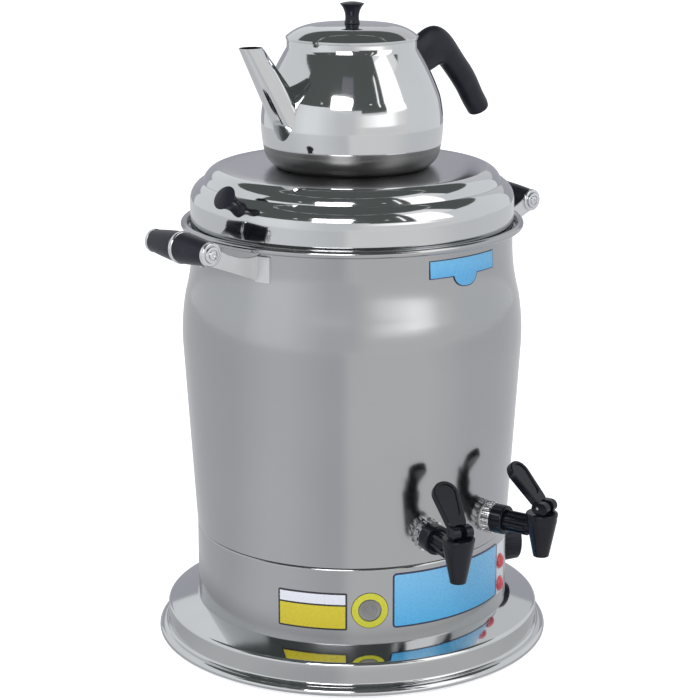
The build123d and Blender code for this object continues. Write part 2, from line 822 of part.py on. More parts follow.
    # Lever: a dished paddle on two cam cheeks, which roll on the bonnet and lift the stem
    lean = radians(lever_lean)
    face = out * sin(lean) + Vector(0, 0, cos(lean))
    pin_plane = Plane(origin=pin_point, x_dir=out, z_dir=-along)
    paddle_plane = Plane(origin=pin_point, x_dir=along, z_dir=face)
    with BuildPart() as tap_lever:
        with BuildSketch(paddle_plane.offset(-lever_back_t)):
            with Locations((0, lever_neck_r)):
                Circle(lever_neck_r)
            with Locations((0, lever_len - lever_tip_r)):
                Circle(lever_tip_r)
            make_hull()
        extrude(amount=lever_back_t + lever_front_t)
        fillet(tap_lever.faces().filter_by(GeomType.PLANE).edges(), lever_edge_r)
        with BuildSketch(paddle_plane.offset(lever_front_t)):
            with Locations((0, lever_dish_foot)):
                Circle(lever_neck_r - lever_dish_w)
            with Locations((0, lever_len - lever_tip_r)):
                Circle(lever_tip_r - lever_dish_w)
            make_hull()
        extrude(amount=-lever_dish_depth, mode=Mode.SUBTRACT)
        with BuildSketch(pin_plane):
            Circle(cam_r)
            with Locations((cam_throw, 0)):
                Circle(cam_r)
            make_hull()
        extrude(amount=lever_w / 2, both=True)
        fork_r = sqrt(eye_l**2 + 4 * eye_rise**2) / 2 + 2 * cam_gap
        with BuildSketch(pin_plane):
            with Locations((-fork_r, fork_r)):
                Rectangle(2 * fork_r + cam_throw + cam_r, 2 * fork_r + cam_r, align=(Align.MIN, Align.MAX))
        extrude(amount=lever_fork_w / 2, both=True, mode=Mode.SUBTRACT)
        with BuildSketch(pin_plane):
            Circle(pin_r)
        extrude(amount=lever_w, both=True, mode=Mode.SUBTRACT)
    keep(tap_lever, f"tap_lever_{side}")

    with BuildPart() as tap_pin:
        with BuildSketch(pin_plane):
            Circle(pin_r)
        extrude(amount=pin_len / 2, both=True)
    keep(tap_pin, f"tap_pin_{side}")

# Side handles: two grips and a ring on a tie rod, between two strap brackets welded to the neck
strap_in = grip_half
strap_out = grip_half + strap_t
foot_top = rim_z - sheet - strap_foot_top
for side, turn in (("left", -1), ("right", 1)):
    grip_x = turn * grip_axis_r
    grip_axis = Axis((grip_x, 0, grip_z), (0, 1, 0))
    grip_plane = Plane(origin=(grip_x, 0, grip_z), x_dir=(0, 1, 0), z_dir=(1, 0, 0))
    side_plane = Plane(origin=(0, 0, 0), x_dir=(turn, 0, 0), z_dir=(0, -turn, 0))

    with BuildPart() as brackets:
        with BuildSketch(side_plane):
            with BuildLine():
                waist_r = neck_r + grip_out * strap_waist_share
                waist_z = (grip_z + foot_top - strap_foot_h / 2) / 2
                Line((neck_r - cut_over, foot_top), (neck_r - cut_over, foot_top - strap_foot_h))
                ThreePointArc(
                    (neck_r - cut_over, foot_top - strap_foot_h),
                    (waist_r, waist_z - strap_waist_h / 2),
                    (grip_axis_r, grip_z - strap_eye_r),
                )
                ThreePointArc(
                    (grip_axis_r, grip_z - strap_eye_r),
                    (grip_axis_r + strap_eye_r, grip_z),
                    (grip_axis_r, grip_z + strap_eye_r),
                )
                ThreePointArc(
                    (grip_axis_r, grip_z + strap_eye_r),
                    (waist_r, waist_z + strap_waist_h / 2),
                    (neck_r - cut_over, foot_top),
                )
            make_face()
            with Locations((grip_axis_r, grip_z)):
                Circle(rod_r + running_gap, mode=Mode.SUBTRACT)
        extrude(amount=strap_out, both=True)
        with BuildSketch(side_plane):
            Rectangle(3 * grip_axis_r, 3 * grip_z)
        extrude(amount=strap_in, both=True, mode=Mode.SUBTRACT)
        with BuildSketch(Plane.XY.offset(foot_top - strap_foot_h)):
            with BuildLine():
                Polyline(
                    (0, strap_in),
                    (grip_x, strap_in),
                    (grip_x, strap_in + strap_foot_w),
                    (0, strap_in + strap_foot_w),
                    close=True,
                )
            make_face()
            mirror(about=Plane.XZ)
            Circle(neck_r + strap_t, mode=Mode.INTERSECT)
        extrude(amount=strap_foot_h)
        with BuildSketch(Plane.XY):
            Circle(neck_r)
        extrude(amount=rim_z, mode=Mode.SUBTRACT)
    keep(brackets, f"handle_brackets_{side}")

    with BuildPart() as grips:
        with BuildSketch(grip_plane):
            with BuildLine():
                Polyline((ring_w / 2, rod_r + running_gap), (ring_w / 2, grip_mid_r))
                ThreePointArc(
                    (ring_w / 2, grip_mid_r),
                    ((ring_w / 2 + grip_half) / 2, grip_belly_r),
                    (grip_half, grip_end_r),
                )
                Polyline(
                    (grip_half, grip_end_r),
                    (grip_half, rod_r + running_gap),
                    (ring_w / 2, rod_r + running_gap),
                )
            make_face()
        revolve(axis=grip_axis)
        mirror(about=Plane.XZ)
    keep(grips, f"handle_grips_{side}")

    with BuildPart() as ring:
        with BuildSketch(Plane(origin=(grip_x, 0, grip_z), x_dir=(1, 0, 0), z_dir=(0, 1, 0))):
            Circle(ring_r)
            Circle(rod_r + running_gap, mode=Mode.SUBTRACT)
        extrude(amount=ring_w / 2, both=True)
        fillet(ring.edges().filter_by(GeomType.CIRCLE).group_by(SortBy.RADIUS)[-1], ring_w / 4)
    keep(ring, f"handle_ring_{side}")

    with BuildPart() as tie_rod:
        with BuildSketch(Plane(origin=(grip_x, 0, grip_z), x_dir=(1, 0, 0), z_dir=(0, 1, 0))):
            Circle(rod_r)
        extrude(amount=strap_out + rod_in_cap, both=True)
    keep(tie_rod, f"handle_rod_{side}")

    with BuildPart() as caps:
        with BuildSketch(grip_plane):
            with BuildLine():
                Polyline(
                    (strap_out + rod_in_cap, 0),
                    (strap_out + rod_in_cap, rod_r),
                    (strap_out, rod_r),
                    (strap_out, cap_r),
                    (strap_out + cap_rim_t, cap_r),
                    (strap_out + cap_rim_t, cap_dome_r),
                )
                dome(strap_out + cap_rim_t, cap_dome_r, cap_dome_h)
                Line((strap_out + cap_rim_t + cap_dome_h, 0), (strap_out + rod_in_cap, 0))
            make_face()
        revolve(axis=grip_axis)
        mirror(about=Plane.XZ)
    keep(caps, f"handle_caps_{side}")

# Urn lid: a spun cover in two tiers, with a skirt that drops inside the neck
lid_skirt_r = neck_r - sheet - seat_gap
lid_seat_r = lid_step_r + lid_shoulder_w * lid_seat_shares[0]
lid_seat_z = lid_shoulder_z + lid_shoulder_h * lid_seat_shares[1]
lid_knob_tilt = atan2(lid_shoulder_w, lid_shoulder_h)
lid_knob_out, lid_knob_along = around(lid_knob_turn - 90)
lid_knob_dir = lid_knob_out * cos(lid_knob_tilt) + Vector(0, 0, sin(lid_knob_tilt))
# Section plane of the lid knob: x runs along the knob's axis from its seat, y across it
lid_knob_plane = Plane(
    origin=lid_knob_out * lid_seat_r + Vector(0, 0, lid_seat_z),
    x_dir=lid_knob_dir,
    z_dir=-lid_knob_along,
)
lid_knob_axis = Axis(lid_knob_plane.origin, lid_knob_dir)


def lid_tiers():
    """The lid's outside from the top of its wall to the middle of its flat top."""
    ThreePointArc(
        (lid_wall_r, lid_shoulder_z), (lid_seat_r, lid_seat_z), (lid_step_r, lid_step_z)
    )
    Line((lid_step_r, lid_step_z), (lid_step_r - lid_groove_w, lid_step_z))
    ThreePointArc(
        (lid_step_r - lid_groove_w, lid_step_z),
        (
            lid_top_r + lid_tier_w * lid_seat_shares[0],
            lid_step_z + lid_tier_h * lid_seat_shares[1],
        ),
        (lid_top_r, lid_top_z),
    )
    Line((lid_top_r, lid_top_z), (0, lid_top_z))


with BuildPart() as urn_lid:
    with BuildSketch(Plane.XZ):
        with BuildLine():
            Polyline(
                (lid_skirt_r, rim_z - lid_skirt_h),
                (lid_skirt_r, rim_z),
                (lid_wall_r, rim_z),
                (lid_wall_r, lid_shoulder_z),
            )
            lid_tiers()
            offset(amount=sheet, side=Side.LEFT)
        make_face()
    revolve(axis=Axis.Z)
    with BuildSketch(Plane(origin=lid_knob_plane.origin, z_dir=lid_knob_dir)):
        Circle(screw_r + running_gap)
    extrude(amount=cut_over, both=True, mode=Mode.SUBTRACT)
keep(urn_lid, "urn_lid")


def trumpet(length, sink):
    """Half outline of a trumpet knob: x runs along its axis from the seat, y is its radius."""
    Polyline(
        (trumpet_edge_h, trumpet_foot_r),
        (-sink, trumpet_foot_r),
        (-sink, screw_r),
        (screw_grip, screw_r),
        (screw_grip, 0),
        (length, 0),
    )
    dome(length - trumpet_cap_h, trumpet_flare_r, trumpet_cap_h)
    ThreePointArc(
        (length - trumpet_cap_h, trumpet_flare_r),
        (length * trumpet_waist_share, trumpet_waist_r),
        (trumpet_edge_h, trumpet_foot_r),
    )


def knob_screw(head_back):
    """Half outline of a knob's screw, with the back of its head this far behind the seat."""
    Polyline(
        (-head_back, 0),
        (-head_back, screw_head_r),
        (-head_back + screw_head_h, screw_head_r),
        (-head_back + screw_head_h, screw_r),
        (screw_grip, screw_r),
        (screw_grip, 0),
        close=True,
    )


# Lid knob: a black trumpet on the lid's shoulder, with its foot fitted to the curve
with BuildPart() as lid_knob:
    with BuildSketch(lid_knob_plane):
        with BuildLine():
            trumpet(lid_knob_len, trumpet_foot_r / 2)
        make_face()
    revolve(axis=lid_knob_axis)
    with BuildSketch(Plane.XZ):
        with BuildLine():
            lid_tiers()
            Polyline(
                (0, lid_top_z), (0, rim_z), (lid_wall_r, rim_z), (lid_wall_r, lid_shoulder_z)
            )
        make_face()
    revolve(axis=Axis.Z, mode=Mode.SUBTRACT)
keep(lid_knob, "lid_knob")

seat_chord = hypot(lid_shoulder_w, lid_shoulder_h)
head_stand = screw_head_r**2 / seat_chord + seat_gap
with BuildPart() as lid_knob_screw:
    with BuildSketch(lid_knob_plane):
        with BuildLine():
            knob_screw(sheet + head_stand + screw_head_h)
        make_face()
    revolve(axis=lid_knob_axis)
keep(lid_knob_screw, "lid_knob_screw")

# Teapot: heights and radii
pot_bottom = pot_z + pot_base_t
pot_seam_z = pot_z + pot_base_h
pot_seam_r = pot_base_r - pot_base_wall
pot_neck_foot = pot_z + pot_neck_z
pot_top = pot_neck_foot + pot_neck_h
spout_tilt = radians(spout_lean)
spout_len = (spout_tip_z - spout_root_z) / sin(spout_tilt)
spout_taper = (spout_root_r - spout_tip_r) / spout_len
spout_plane = Plane(
    origin=(-spout_root_x, 0, pot_z + spout_root_z),
    x_dir=(-cos(spout_tilt), 0, sin(spout_tilt)),
    z_dir=(0, 1, 0),
)
spout_axis = Axis(spout_plane.origin, spout_plane.x_dir)


def foot_curve(foot_r, foot_z, seam_r):
    """Rounded lower edge of the pot, from its flat foot to the seam of its base."""
    ThreePointArc(
        (foot_r, foot_z),
        (
            foot_r + (seam_r - foot_r) * foot_curve_shares[0],
            foot_z + (pot_seam_z - foot_z) * foot_curve_shares[1],
        ),
        (seam_r, pot_seam_z),
    )


def pot_side():
    """The pot's outside from the seam of its base to the top of its neck."""
    ThreePointArc(
        (pot_base_r, pot_seam_z),
        (pot_r, pot_z + pot_belly_z),
        (pot_shoulder_r, pot_z + pot_shoulder_z),
    )
    ThreePointArc(
        (pot_shoulder_r, pot_z + pot_shoulder_z),
        (
            (pot_shoulder_r + pot_neck_r) / 2 + pot_shoulder_bulge,
            (pot_z + pot_shoulder_z + pot_neck_foot) / 2,
        ),
        (pot_neck_r, pot_neck_foot),
    )
    Line((pot_neck_r, pot_neck_foot), (pot_neck_r, pot_top))


def pot_space():
    """Outline of everything inside the pot's outer surface, above the seam of its base."""
    pot_side()
    Polyline((pot_neck_r, pot_top), (0, pot_top), (0, pot_seam_z), (pot_base_r, pot_seam_z))


def spout_cone(wall):
    """Half outline of the spout's cone, made thinner by a wall, run on past both its ends."""
    reach = spout_root_r
    Polyline(
        (-reach, 0),
        (-reach, spout_root_r + spout_taper * reach - wall),
        (spout_len + reach, spout_tip_r - spout_taper * reach - wall),
        (spout_len + reach, 0),
        close=True,
    )


# Pot base: a thick cup round the pot's foot
with BuildPart() as pot_base:
    with BuildSketch(Plane.XZ):
        with BuildLine():
            Line((0, pot_z), (pot_foot_r, pot_z))
            foot_curve(pot_foot_r, pot_z, pot_base_r)
            Line((pot_base_r, pot_seam_z), (pot_seam_r, pot_seam_z))
            foot_curve(pot_foot_r - pot_base_wall, pot_bottom, pot_seam_r)
            Polyline((pot_foot_r - pot_base_wall, pot_bottom), (0, pot_bottom), (0, pot_z))
        make_face()
    revolve(axis=Axis.Z)
keep(pot_base, "pot_base")

# Pot body: a thin drawn vessel, opened towards the spout
with BuildPart() as pot_body:
    with BuildSketch(Plane.XZ):
        with BuildLine():
            Line((0, pot_bottom), (pot_foot_r - pot_base_wall, pot_bottom))
            foot_curve(pot_foot_r - pot_base_wall, pot_bottom, pot_seam_r)
            Line((pot_seam_r, pot_seam_z), (pot_base_r, pot_seam_z))
            pot_side()
            offset(amount=pot_wall, side=Side.LEFT)
        make_face()
    revolve(axis=Axis.Z)
    with BuildSketch(spout_plane):
        with BuildLine():
            spout_cone(pot_wall)
        make_face()
    revolve(axis=spout_axis, mode=Mode.SUBTRACT)
keep(pot_body, "pot_body")

# Spout: a straight tapered tube, cut level at its tip and fitted to the pot's side
with BuildPart() as pot_spout:
    with BuildSketch(spout_plane):
        with BuildLine():
            spout_cone(0)
        make_face()
    revolve(axis=spout_axis)
    with BuildSketch(spout_plane):
        with BuildLine():
            spout_cone(pot_wall)
        make_face()
    revolve(axis=spout_axis, mode=Mode.SUBTRACT)
    with BuildSketch(Plane.XZ):
        with BuildLine():
            pot_space()
        make_face()
    revolve(axis=Axis.Z, mode=Mode.SUBTRACT)
    split(bisect_by=Plane.XY.offset(pot_z + spout_tip_z), keep=Keep.BOTTOM)
keep(pot_spout, "pot_spout")

# Handle: a moulded hook, pocketed over a welded tongue and held by a screw from below
tongue_end = pot_neck_r + tongue_out
tongue_foot = pot_z + tongue_z - tongue_h / 2
handle_screw_x = tongue_end - tongue_h / 2
screw_seat_z = tongue_foot - screw_head_h
# Stations of the hook as shares of its reach, height and depth, with its lean in degrees
hook_stations_shares = (
    (-0.32, 0.68, 1.65, 0),
    (-0.035, 0.751, 1.6, 12),
    (0.13, 0.816, 1.58, 4),
    (0.295, 0.82, 1.33, -13),
    (0.406, 0.762, 1.02, -38),
    (0.534, 0.658, 0.95, -47),
    (0.704, 0.501, 0.92, -53),
    (0.824, 0.366, 0.88, -60),
    (0.882, 0.292, 0.78, -63),
)
with BuildPart() as pot_handle:
    for out_share, rise_share, depth_share, lean_angle in hook_stations_shares:
        lean = radians(lean_angle)
        station = Plane(
            origin=(pot_r + handle_reach * out_share, 0, pot_z + handle_top * rise_share),
            x_dir=(0, 1, 0),
            z_dir=(cos(lean), 0, sin(lean)),
        )
        with BuildSketch(station):
            Ellipse(handle_w / 2, handle_depth * depth_share / 2)
    loft()
    fillet(pot_handle.faces().filter_by(GeomType.PLANE).sort_by(Axis.X)[-1].edges(), handle_end_r)
    with BuildSketch(Plane.XZ):
        with BuildLine():
            pot_space()
        make_face()
    revolve(axis=Axis.Z, mode=Mode.SUBTRACT)
    with BuildSketch(Plane.XZ):
        with Locations((0, tongue_foot - tongue_gap)):
            Rectangle(tongue_end + tongue_gap, tongue_h + 2 * tongue_gap, align=Align.MIN)
    extrude(amount=tongue_w / 2 + tongue_gap, both=True, mode=Mode.SUBTRACT)
    with BuildSketch(Plane.XY.offset(tongue_foot)):
        with Locations((handle_screw_x, 0)):
            Circle(screw_r + running_gap)
    extrude(amount=-handle_depth, mode=Mode.SUBTRACT)
    with BuildSketch(Plane.XY.offset(screw_seat_z)):
        with Locations((handle_screw_x, 0)):
            Circle(screw_head_r + tongue_gap)
    extrude(amount=-handle_depth, mode=Mode.SUBTRACT)
keep(pot_handle, "pot_handle")

with BuildPart() as pot_handle_tongue:
    with BuildSketch(Plane.XZ):
        with Locations((0, tongue_foot)):
            Rectangle(tongue_end, tongue_h, align=Align.MIN)
    extrude(amount=tongue_w / 2, both=True)
    with BuildSketch(Plane.XZ):
        with BuildLine():
            pot_space()
        make_face()
    revolve(axis=Axis.Z, mode=Mode.SUBTRACT)
    with BuildSketch(Plane.XY.offset(tongue_foot)):
        with Locations((handle_screw_x, 0)):
            Circle(screw_r)
    extrude(amount=screw_grip, mode=Mode.SUBTRACT)
keep(pot_handle_tongue, "pot_handle_tongue")

with BuildPart() as pot_handle_screw:
    with BuildSketch(Plane.XY.offset(screw_seat_z)):
        with Locations((handle_screw_x, 0)):
            Circle(screw_head_r)
    extrude(amount=-screw_head_h)
    with BuildSketch(Plane.XY.offset(screw_seat_z)):
        with Locations((handle_screw_x, 0)):
            Circle(screw_r)
    extrude(amount=screw_head_h + screw_grip)
keep(pot_handle_screw, "pot_handle_screw")

# Pot lid: a flat rim on the neck, a shallow dome and a skirt inside the neck
pot_lid_r = pot_neck_r + pot_lid_over
pot_lid_skirt_r = pot_neck_r - pot_wall - seat_gap
pot_crown_z = pot_top + pot_lid_rim_t + pot_lid_dome_h
with BuildPart() as pot_lid:
    with BuildSketch(Plane.XZ):
        with BuildLine():
            Polyline(
                (pot_lid_skirt_r, pot_top - pot_lid_skirt_h),
                (pot_lid_skirt_r, pot_top),
                (pot_lid_r, pot_top),
                (pot_lid_r, pot_top + pot_lid_rim_t),
            )
            ThreePointArc(
                (pot_lid_r, pot_top + pot_lid_rim_t),
                (
                    pot_lid_r * pot_dome_shares[0],
                    pot_top + pot_lid_rim_t + pot_lid_dome_h * pot_dome_shares[1],
                ),
                (
                    pot_lid_r * pot_dome_shares[2],
                    pot_top + pot_lid_rim_t + pot_lid_dome_h * pot_dome_shares[3],
                ),
            )
            Polyline(
                (
                    pot_lid_r * pot_dome_shares[2],
                    pot_top + pot_lid_rim_t + pot_lid_dome_h * pot_dome_shares[3],
                ),
                (trumpet_foot_r + sheet, pot_crown_z),
                (0, pot_crown_z),
            )
            offset(amount=pot_wall, side=Side.LEFT)
        make_face()
    revolve(axis=Axis.Z)
    with BuildSketch(Plane.XY.offset(pot_crown_z)):
        Circle(screw_r + running_gap)
    extrude(amount=cut_over, both=True, mode=Mode.SUBTRACT)
keep(pot_lid, "pot_lid")

pot_knob_plane = Plane(origin=(0, 0, pot_crown_z), x_dir=(0, 0, 1), z_dir=(0, 1, 0))
with BuildPart() as pot_lid_knob:
    with BuildSketch(pot_knob_plane):
        with BuildLine():
            trumpet(pot_knob_len, 0)
        make_face()
    revolve(axis=Axis.Z)
keep(pot_lid_knob, "pot_lid_knob")

with BuildPart() as pot_knob_screw:
    with BuildSketch(pot_knob_plane):
        with BuildLine():
            knob_screw(pot_wall + screw_head_h)
        make_face()
    revolve(axis=Axis.Z)
keep(pot_knob_screw, "pot_knob_screw")
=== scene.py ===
from cmath import phase, rect
from math import acos, cos, degrees, pi, radians, sin, tan

import bmesh
import bpy
from mathutils import Matrix, Vector


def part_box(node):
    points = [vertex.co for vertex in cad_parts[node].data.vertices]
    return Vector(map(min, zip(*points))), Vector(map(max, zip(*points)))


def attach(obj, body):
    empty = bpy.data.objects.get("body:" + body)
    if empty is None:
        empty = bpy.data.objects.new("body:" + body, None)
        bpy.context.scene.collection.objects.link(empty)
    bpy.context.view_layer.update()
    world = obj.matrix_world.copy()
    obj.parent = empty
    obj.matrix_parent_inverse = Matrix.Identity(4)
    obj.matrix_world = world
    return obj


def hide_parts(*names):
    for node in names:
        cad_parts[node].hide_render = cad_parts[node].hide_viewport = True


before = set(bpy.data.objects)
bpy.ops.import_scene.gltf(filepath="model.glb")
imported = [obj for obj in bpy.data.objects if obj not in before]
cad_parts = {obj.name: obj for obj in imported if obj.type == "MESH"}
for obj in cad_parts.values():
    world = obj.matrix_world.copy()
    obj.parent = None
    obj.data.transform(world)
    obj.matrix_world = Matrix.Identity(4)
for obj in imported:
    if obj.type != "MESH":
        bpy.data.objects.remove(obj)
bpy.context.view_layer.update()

# Pedestal: one disc of mirror-polished stainless steel, spun over a former. Its outer edge is
# rolled into a round hem that stands on the table, and its ledge carries the band of the urn.
weld_gap = 0.000002
crease_angle = radians(32)
mitre_limit = 0.5


def rounded(corners, radii, steps=6):
    """Outline through these corners, with the inner ones rounded to the given radii."""
    points = [Vector(corner) for corner in corners]
    outline = [points[0]]
    for before, corner, after, radius in zip(points, points[1:], points[2:], radii):
        back = (before - corner).normalized()
        onward = (after - corner).normalized()
        half = back.angle(onward) / 2
        centre = corner + (back + onward).normalized() * (radius / sin(half))
        first = (corner + back * (radius / tan(half)) - centre).normalized()
        last = (corner + onward * (radius / tan(half)) - centre).normalized()
        outline += [centre + first.slerp(last, i / steps) * radius for i in range(steps + 1)]
    return outline + [points[-1]]


def walled(outline, thickness):
    """Closed outline of a sheet that follows an open outline, on its left side."""
    points = [Vector(point) for point in outline]
    inner = []
    for i, point in enumerate(points):
        runs = [b - a for a, b in zip(points[max(i - 1, 0):i + 1], points[max(i, 1):i + 2])]
        sides = [Vector((-run.y, run.x)).normalized() for run in runs if run.length > 0]
        lean = sum(sides, Vector((0, 0))).normalized()
        inner.append(point + lean * (thickness / max(lean.dot(sides[0]), mitre_limit)))
    return points + inner[::-1]


def linked(name, form):
    """Object of the scene, made of a finished form."""
    mesh = bpy.data.meshes.new(name)
    form.to_mesh(mesh)
    form.free()
    made = bpy.data.objects.new(name, mesh)
    bpy.context.scene.collection.objects.link(made)
    return made


def sealed(form):
    """The same form, welded where its points meet and with its faces turned outwards."""
    bmesh.ops.remove_doubles(form, verts=form.verts, dist=weld_gap)
    bmesh.ops.recalc_face_normals(form, faces=form.faces)
    return form


def show(name, form, material, body, nodes=(), sharp=crease_angle):
    """Piece of the object from a finished form, riding on its body in place of its solids."""
    piece = linked(name, sealed(form))
    piece.data.shade_smooth()
    piece.data.set_sharp_from_angle(angle=sharp)
    piece.data.materials.append(material)
    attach(piece, body)
    if nodes:
        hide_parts(*nodes)
    return piece


def skinned(form, rings):
    """Faces between closed rings of points, each ring joined to the next."""
    for ring, other in zip(rings, rings[1:]):
        for i in range(len(ring)):
            form.faces.new((ring[i - 1], ring[i], other[i], other[i - 1]))


def spun(form, outline, place=Matrix(), turns=192):
    """Adds to a form a closed outline of radius and height, turned about the place's z axis."""
    angles = [2 * pi * i / turns for i in range(turns)]
    rings = [
        [form.verts.new(place @ Vector((r * cos(a), r * sin(a), z))) for a in angles]
        for r, z in outline
    ]
    skinned(form, rings + rings[:1])


def feed(tree, node, inputs):
    """Gives the inputs of a node, by name or number, their values or the sockets to link."""
    for key, value in inputs.items():
        if isinstance(value, bpy.types.NodeSocket):
            tree.links.new(value, node.inputs[key])
        else:
            node.inputs[key].default_value = value


def add_node(tree, kind, inputs=None, **settings):
    """New node of a tree, with its settings and its inputs."""
    made = tree.nodes.new(kind)
    for key, value in settings.items():
        setattr(made, key, value)
    feed(tree, made, inputs or {})
    return made


def new_material(name):
    """New material, with its tree, its surface shader and the coordinates of its object."""
    material = bpy.data.materials.new(name)
    material.use_nodes = True
    tree = material.node_tree
    place = add_node(tree, "ShaderNodeTexCoord").outputs["Object"]
    return material, tree, tree.nodes["Principled BSDF"], place


def noise(tree, place, size, detail):
    """Value of a cloudy pattern of this fineness."""
    inputs = {"Vector": place, "Scale": size, "Detail": detail}
    return add_node(tree, "ShaderNodeTexNoise", inputs).outputs[0]


def toned(colour, share):
    """The same colour, darker or brighter by a share."""
    return [min(part * share, 1) for part in colour]


def ramp(tree, factor, low, high, span=(0, 1)):
    """Colour that runs from one to another while a factor goes over its span."""
    made = add_node(tree, "ShaderNodeValToRGB", {"Fac": factor})
    for stop, position, colour in zip(made.color_ramp.elements, span, (low, high)):
        stop.position = position
        stop.color = (*colour, 1)
    return made.outputs[0]


def spread(tree, factor, middle, shares, span=(0, 1)):
    """Value that runs between two shares of a middle one while a factor goes over its span."""
    inputs = {
        "Value": factor,
        "From Min": span[0],
        "From Max": span[1],
        "To Min": middle * shares[0],
        "To Max": middle * shares[1],
    }
    return add_node(tree, "ShaderNodeMapRange", inputs).outputs[0]


def relief(tree, height, strength, distance=0.0002):
    """Direction of a surface with a fine relief."""
    inputs = {"Height": height, "Strength": strength, "Distance": distance}
    return add_node(tree, "ShaderNodeBump", inputs).outputs[0]


def steel(name, colour, roughness, grain, depth, patches=0.06, size=14.0, ring_fineness=700.0):
    """Bare metal with polishing lines along its grain and faint patches left by handling."""
    material, tree, skin, place = new_material(name)
    if grain == "rings":
        flat = add_node(tree, "ShaderNodeMapping", {"Vector": place, "Scale": (1, 1, 0)})
        reach = add_node(tree, "ShaderNodeVectorMath", {0: flat.outputs[0]}, operation="LENGTH")
        height = add_node(tree, "ShaderNodeSeparateXYZ", {0: place})
        rings = {"X": reach.outputs["Value"], "Y": height.outputs["Z"]}
        lines_at = add_node(tree, "ShaderNodeCombineXYZ", rings).outputs[0]
        fineness = ring_fineness
    else:
        stretch = add_node(tree, "ShaderNodeMapping", {"Vector": place, "Scale": grain})
        lines_at = stretch.outputs[0]
        fineness = 1.0
    lines = noise(tree, lines_at, fineness, detail=5.0)
    clouds = noise(tree, place, size, detail=4.0)
    span = (0.1, 0.9)
    dark, pale = toned(colour, 1 - patches), toned(colour, 1 + patches)
    looks = {
        "Base Color": ramp(tree, clouds, dark, pale, span),
        "Roughness": spread(tree, clouds, roughness, shares=(1.25, 0.8), span=span),
        "Normal": relief(tree, lines, depth),
        "Metallic": 1.0,
    }
    feed(tree, skin, looks)
    return material


sheet = 0.001
base_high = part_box("base_plate")[1]
base_radius = base_high.x
base_height = base_high.z
hem_radius = 0.0055
hem_flat = 0.0005
hem_lip = 0.0095
apron_drop = 0.007
apron_foot_bend = 0.003
apron_bend = 0.004
ledge_bend = 0.002
ledge_flat = 0.012
hem_turn = 28
polished_steel = steel(
    "polished_steel", (0.66, 0.67, 0.675), roughness=0.07, grain="rings", depth=0.03
)

band_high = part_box("lower_band")[1]
band_radius = band_high.x
apron_radius = base_radius - hem_lip
hem_top = 2 * hem_radius - hem_flat
plate_outline = rounded(
    (
        (base_radius - hem_radius, hem_top),
        (apron_radius, hem_top),
        (apron_radius, base_height - apron_drop),
        (band_radius + sheet, base_height),
        (band_radius - ledge_flat, base_height),
    ),
    (apron_foot_bend, apron_bend, ledge_bend),
    steps=10,
)
hem_centre = Vector((base_radius - hem_radius, hem_radius - hem_flat))
hem_open = acos((hem_radius - hem_flat) / hem_radius)
hem_angles = [
    -pi / 2 + hem_open + (2 * pi - 2 * hem_open) * i / hem_turn for i in range(hem_turn + 1)
]
hem_outline = [hem_centre + Vector((cos(a), sin(a))) * hem_radius for a in hem_angles]
pedestal = bmesh.new()
spun(pedestal, walled(plate_outline, sheet))
spun(pedestal, hem_outline)
show("pedestal", pedestal, polished_steel, "urn", ["base_plate"])

# Bottom cover: a vented disc of plain steel under the electrics, held to the pedestal by six
# pan-head screws from below, so that the wiring can be reached.


def dress(material, *names):
    """Gives solids that stay in view their finish, with their curved sides smooth."""
    for name in names:
        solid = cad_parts[name]
        solid.data.materials.clear()
        solid.data.materials.append(material)
        solid.data.shade_smooth()
        weld = solid.modifiers.new("weld", "WELD")
        weld.merge_threshold = weld_gap
        crease = solid.modifiers.new("crease", "EDGE_SPLIT")
        crease.split_angle = crease_angle


plain_steel = steel(
    "plain_steel", (0.50, 0.50, 0.51), roughness=0.32, grain=(18, 400, 18), depth=0.10
)
zinc = steel(
    "zinc", (0.55, 0.56, 0.58), roughness=0.28, grain=(300, 300, 300), depth=0.10, size=120.0
)
dress(plain_steel, "bottom_cover")
dress(zinc, "bottom_cover_screws")

# Lower band: a sleeve of satin steel rolled round the electrics. Its top edge is turned in under
# the tank, and lamps, sounder, knob and cable gland go through its wall.
band_top = band_high.z
band_edge = 0.003
band_flange = 0.010
satin_steel = steel(
    "satin_steel", (0.45, 0.455, 0.465), roughness=0.14, grain=(3, 3, 420), depth=0.05, size=7.0
)
band_outline = rounded(
    (
        (band_radius, base_height),
        (band_radius, band_top),
        (band_radius - band_flange, band_top),
    ),
    (band_edge,),
    steps=8,
)
band = bmesh.new()
spun(band, walled(band_outline, sheet))
show("band", band, satin_steel, "urn", ["lower_band"])

# Plates on the band: printed film in plain fields of colour, stuck to the steel side by side. The
# name plate and the notice have a dark edge.


def film(name, low, high, levels, roughness=0.28, mottle_size=420.0, mottle_share=0.03):
    """Printed film: a colour that shifts from one level of the wall to another, finely mottled."""
    material, tree, skin, place = new_material(name)
    height = add_node(tree, "ShaderNodeSeparateXYZ", {0: place})
    shift = add_node(
        tree,
        "ShaderNodeMapRange",
        {"Value": height.outputs["Z"], "From Min": levels[0], "From Max": levels[1]},
    )
    mottle = noise(tree, place, mottle_size, detail=3.0)
    parts = {0: mottle, 1: mottle_share, 2: shift.outputs[0]}
    blend = add_node(tree, "ShaderNodeMath", parts, operation="MULTIPLY_ADD")
    looks = {
        "Base Color": ramp(tree, blend.outputs[0], low, high),
        "Roughness": spread(tree, mottle, roughness, shares=(0.8, 1.2)),
        "Coat Weight": 0.3,
        "Coat Roughness": 0.12,
    }
    feed(tree, skin, looks)
    return material


def wall_point(radius, middle, along, height):
    """Point on a round wall: this far along it from an angle counted from the front."""
    angle = radians(middle) + along / radius
    return Vector((radius * sin(angle), -radius * cos(angle), height))


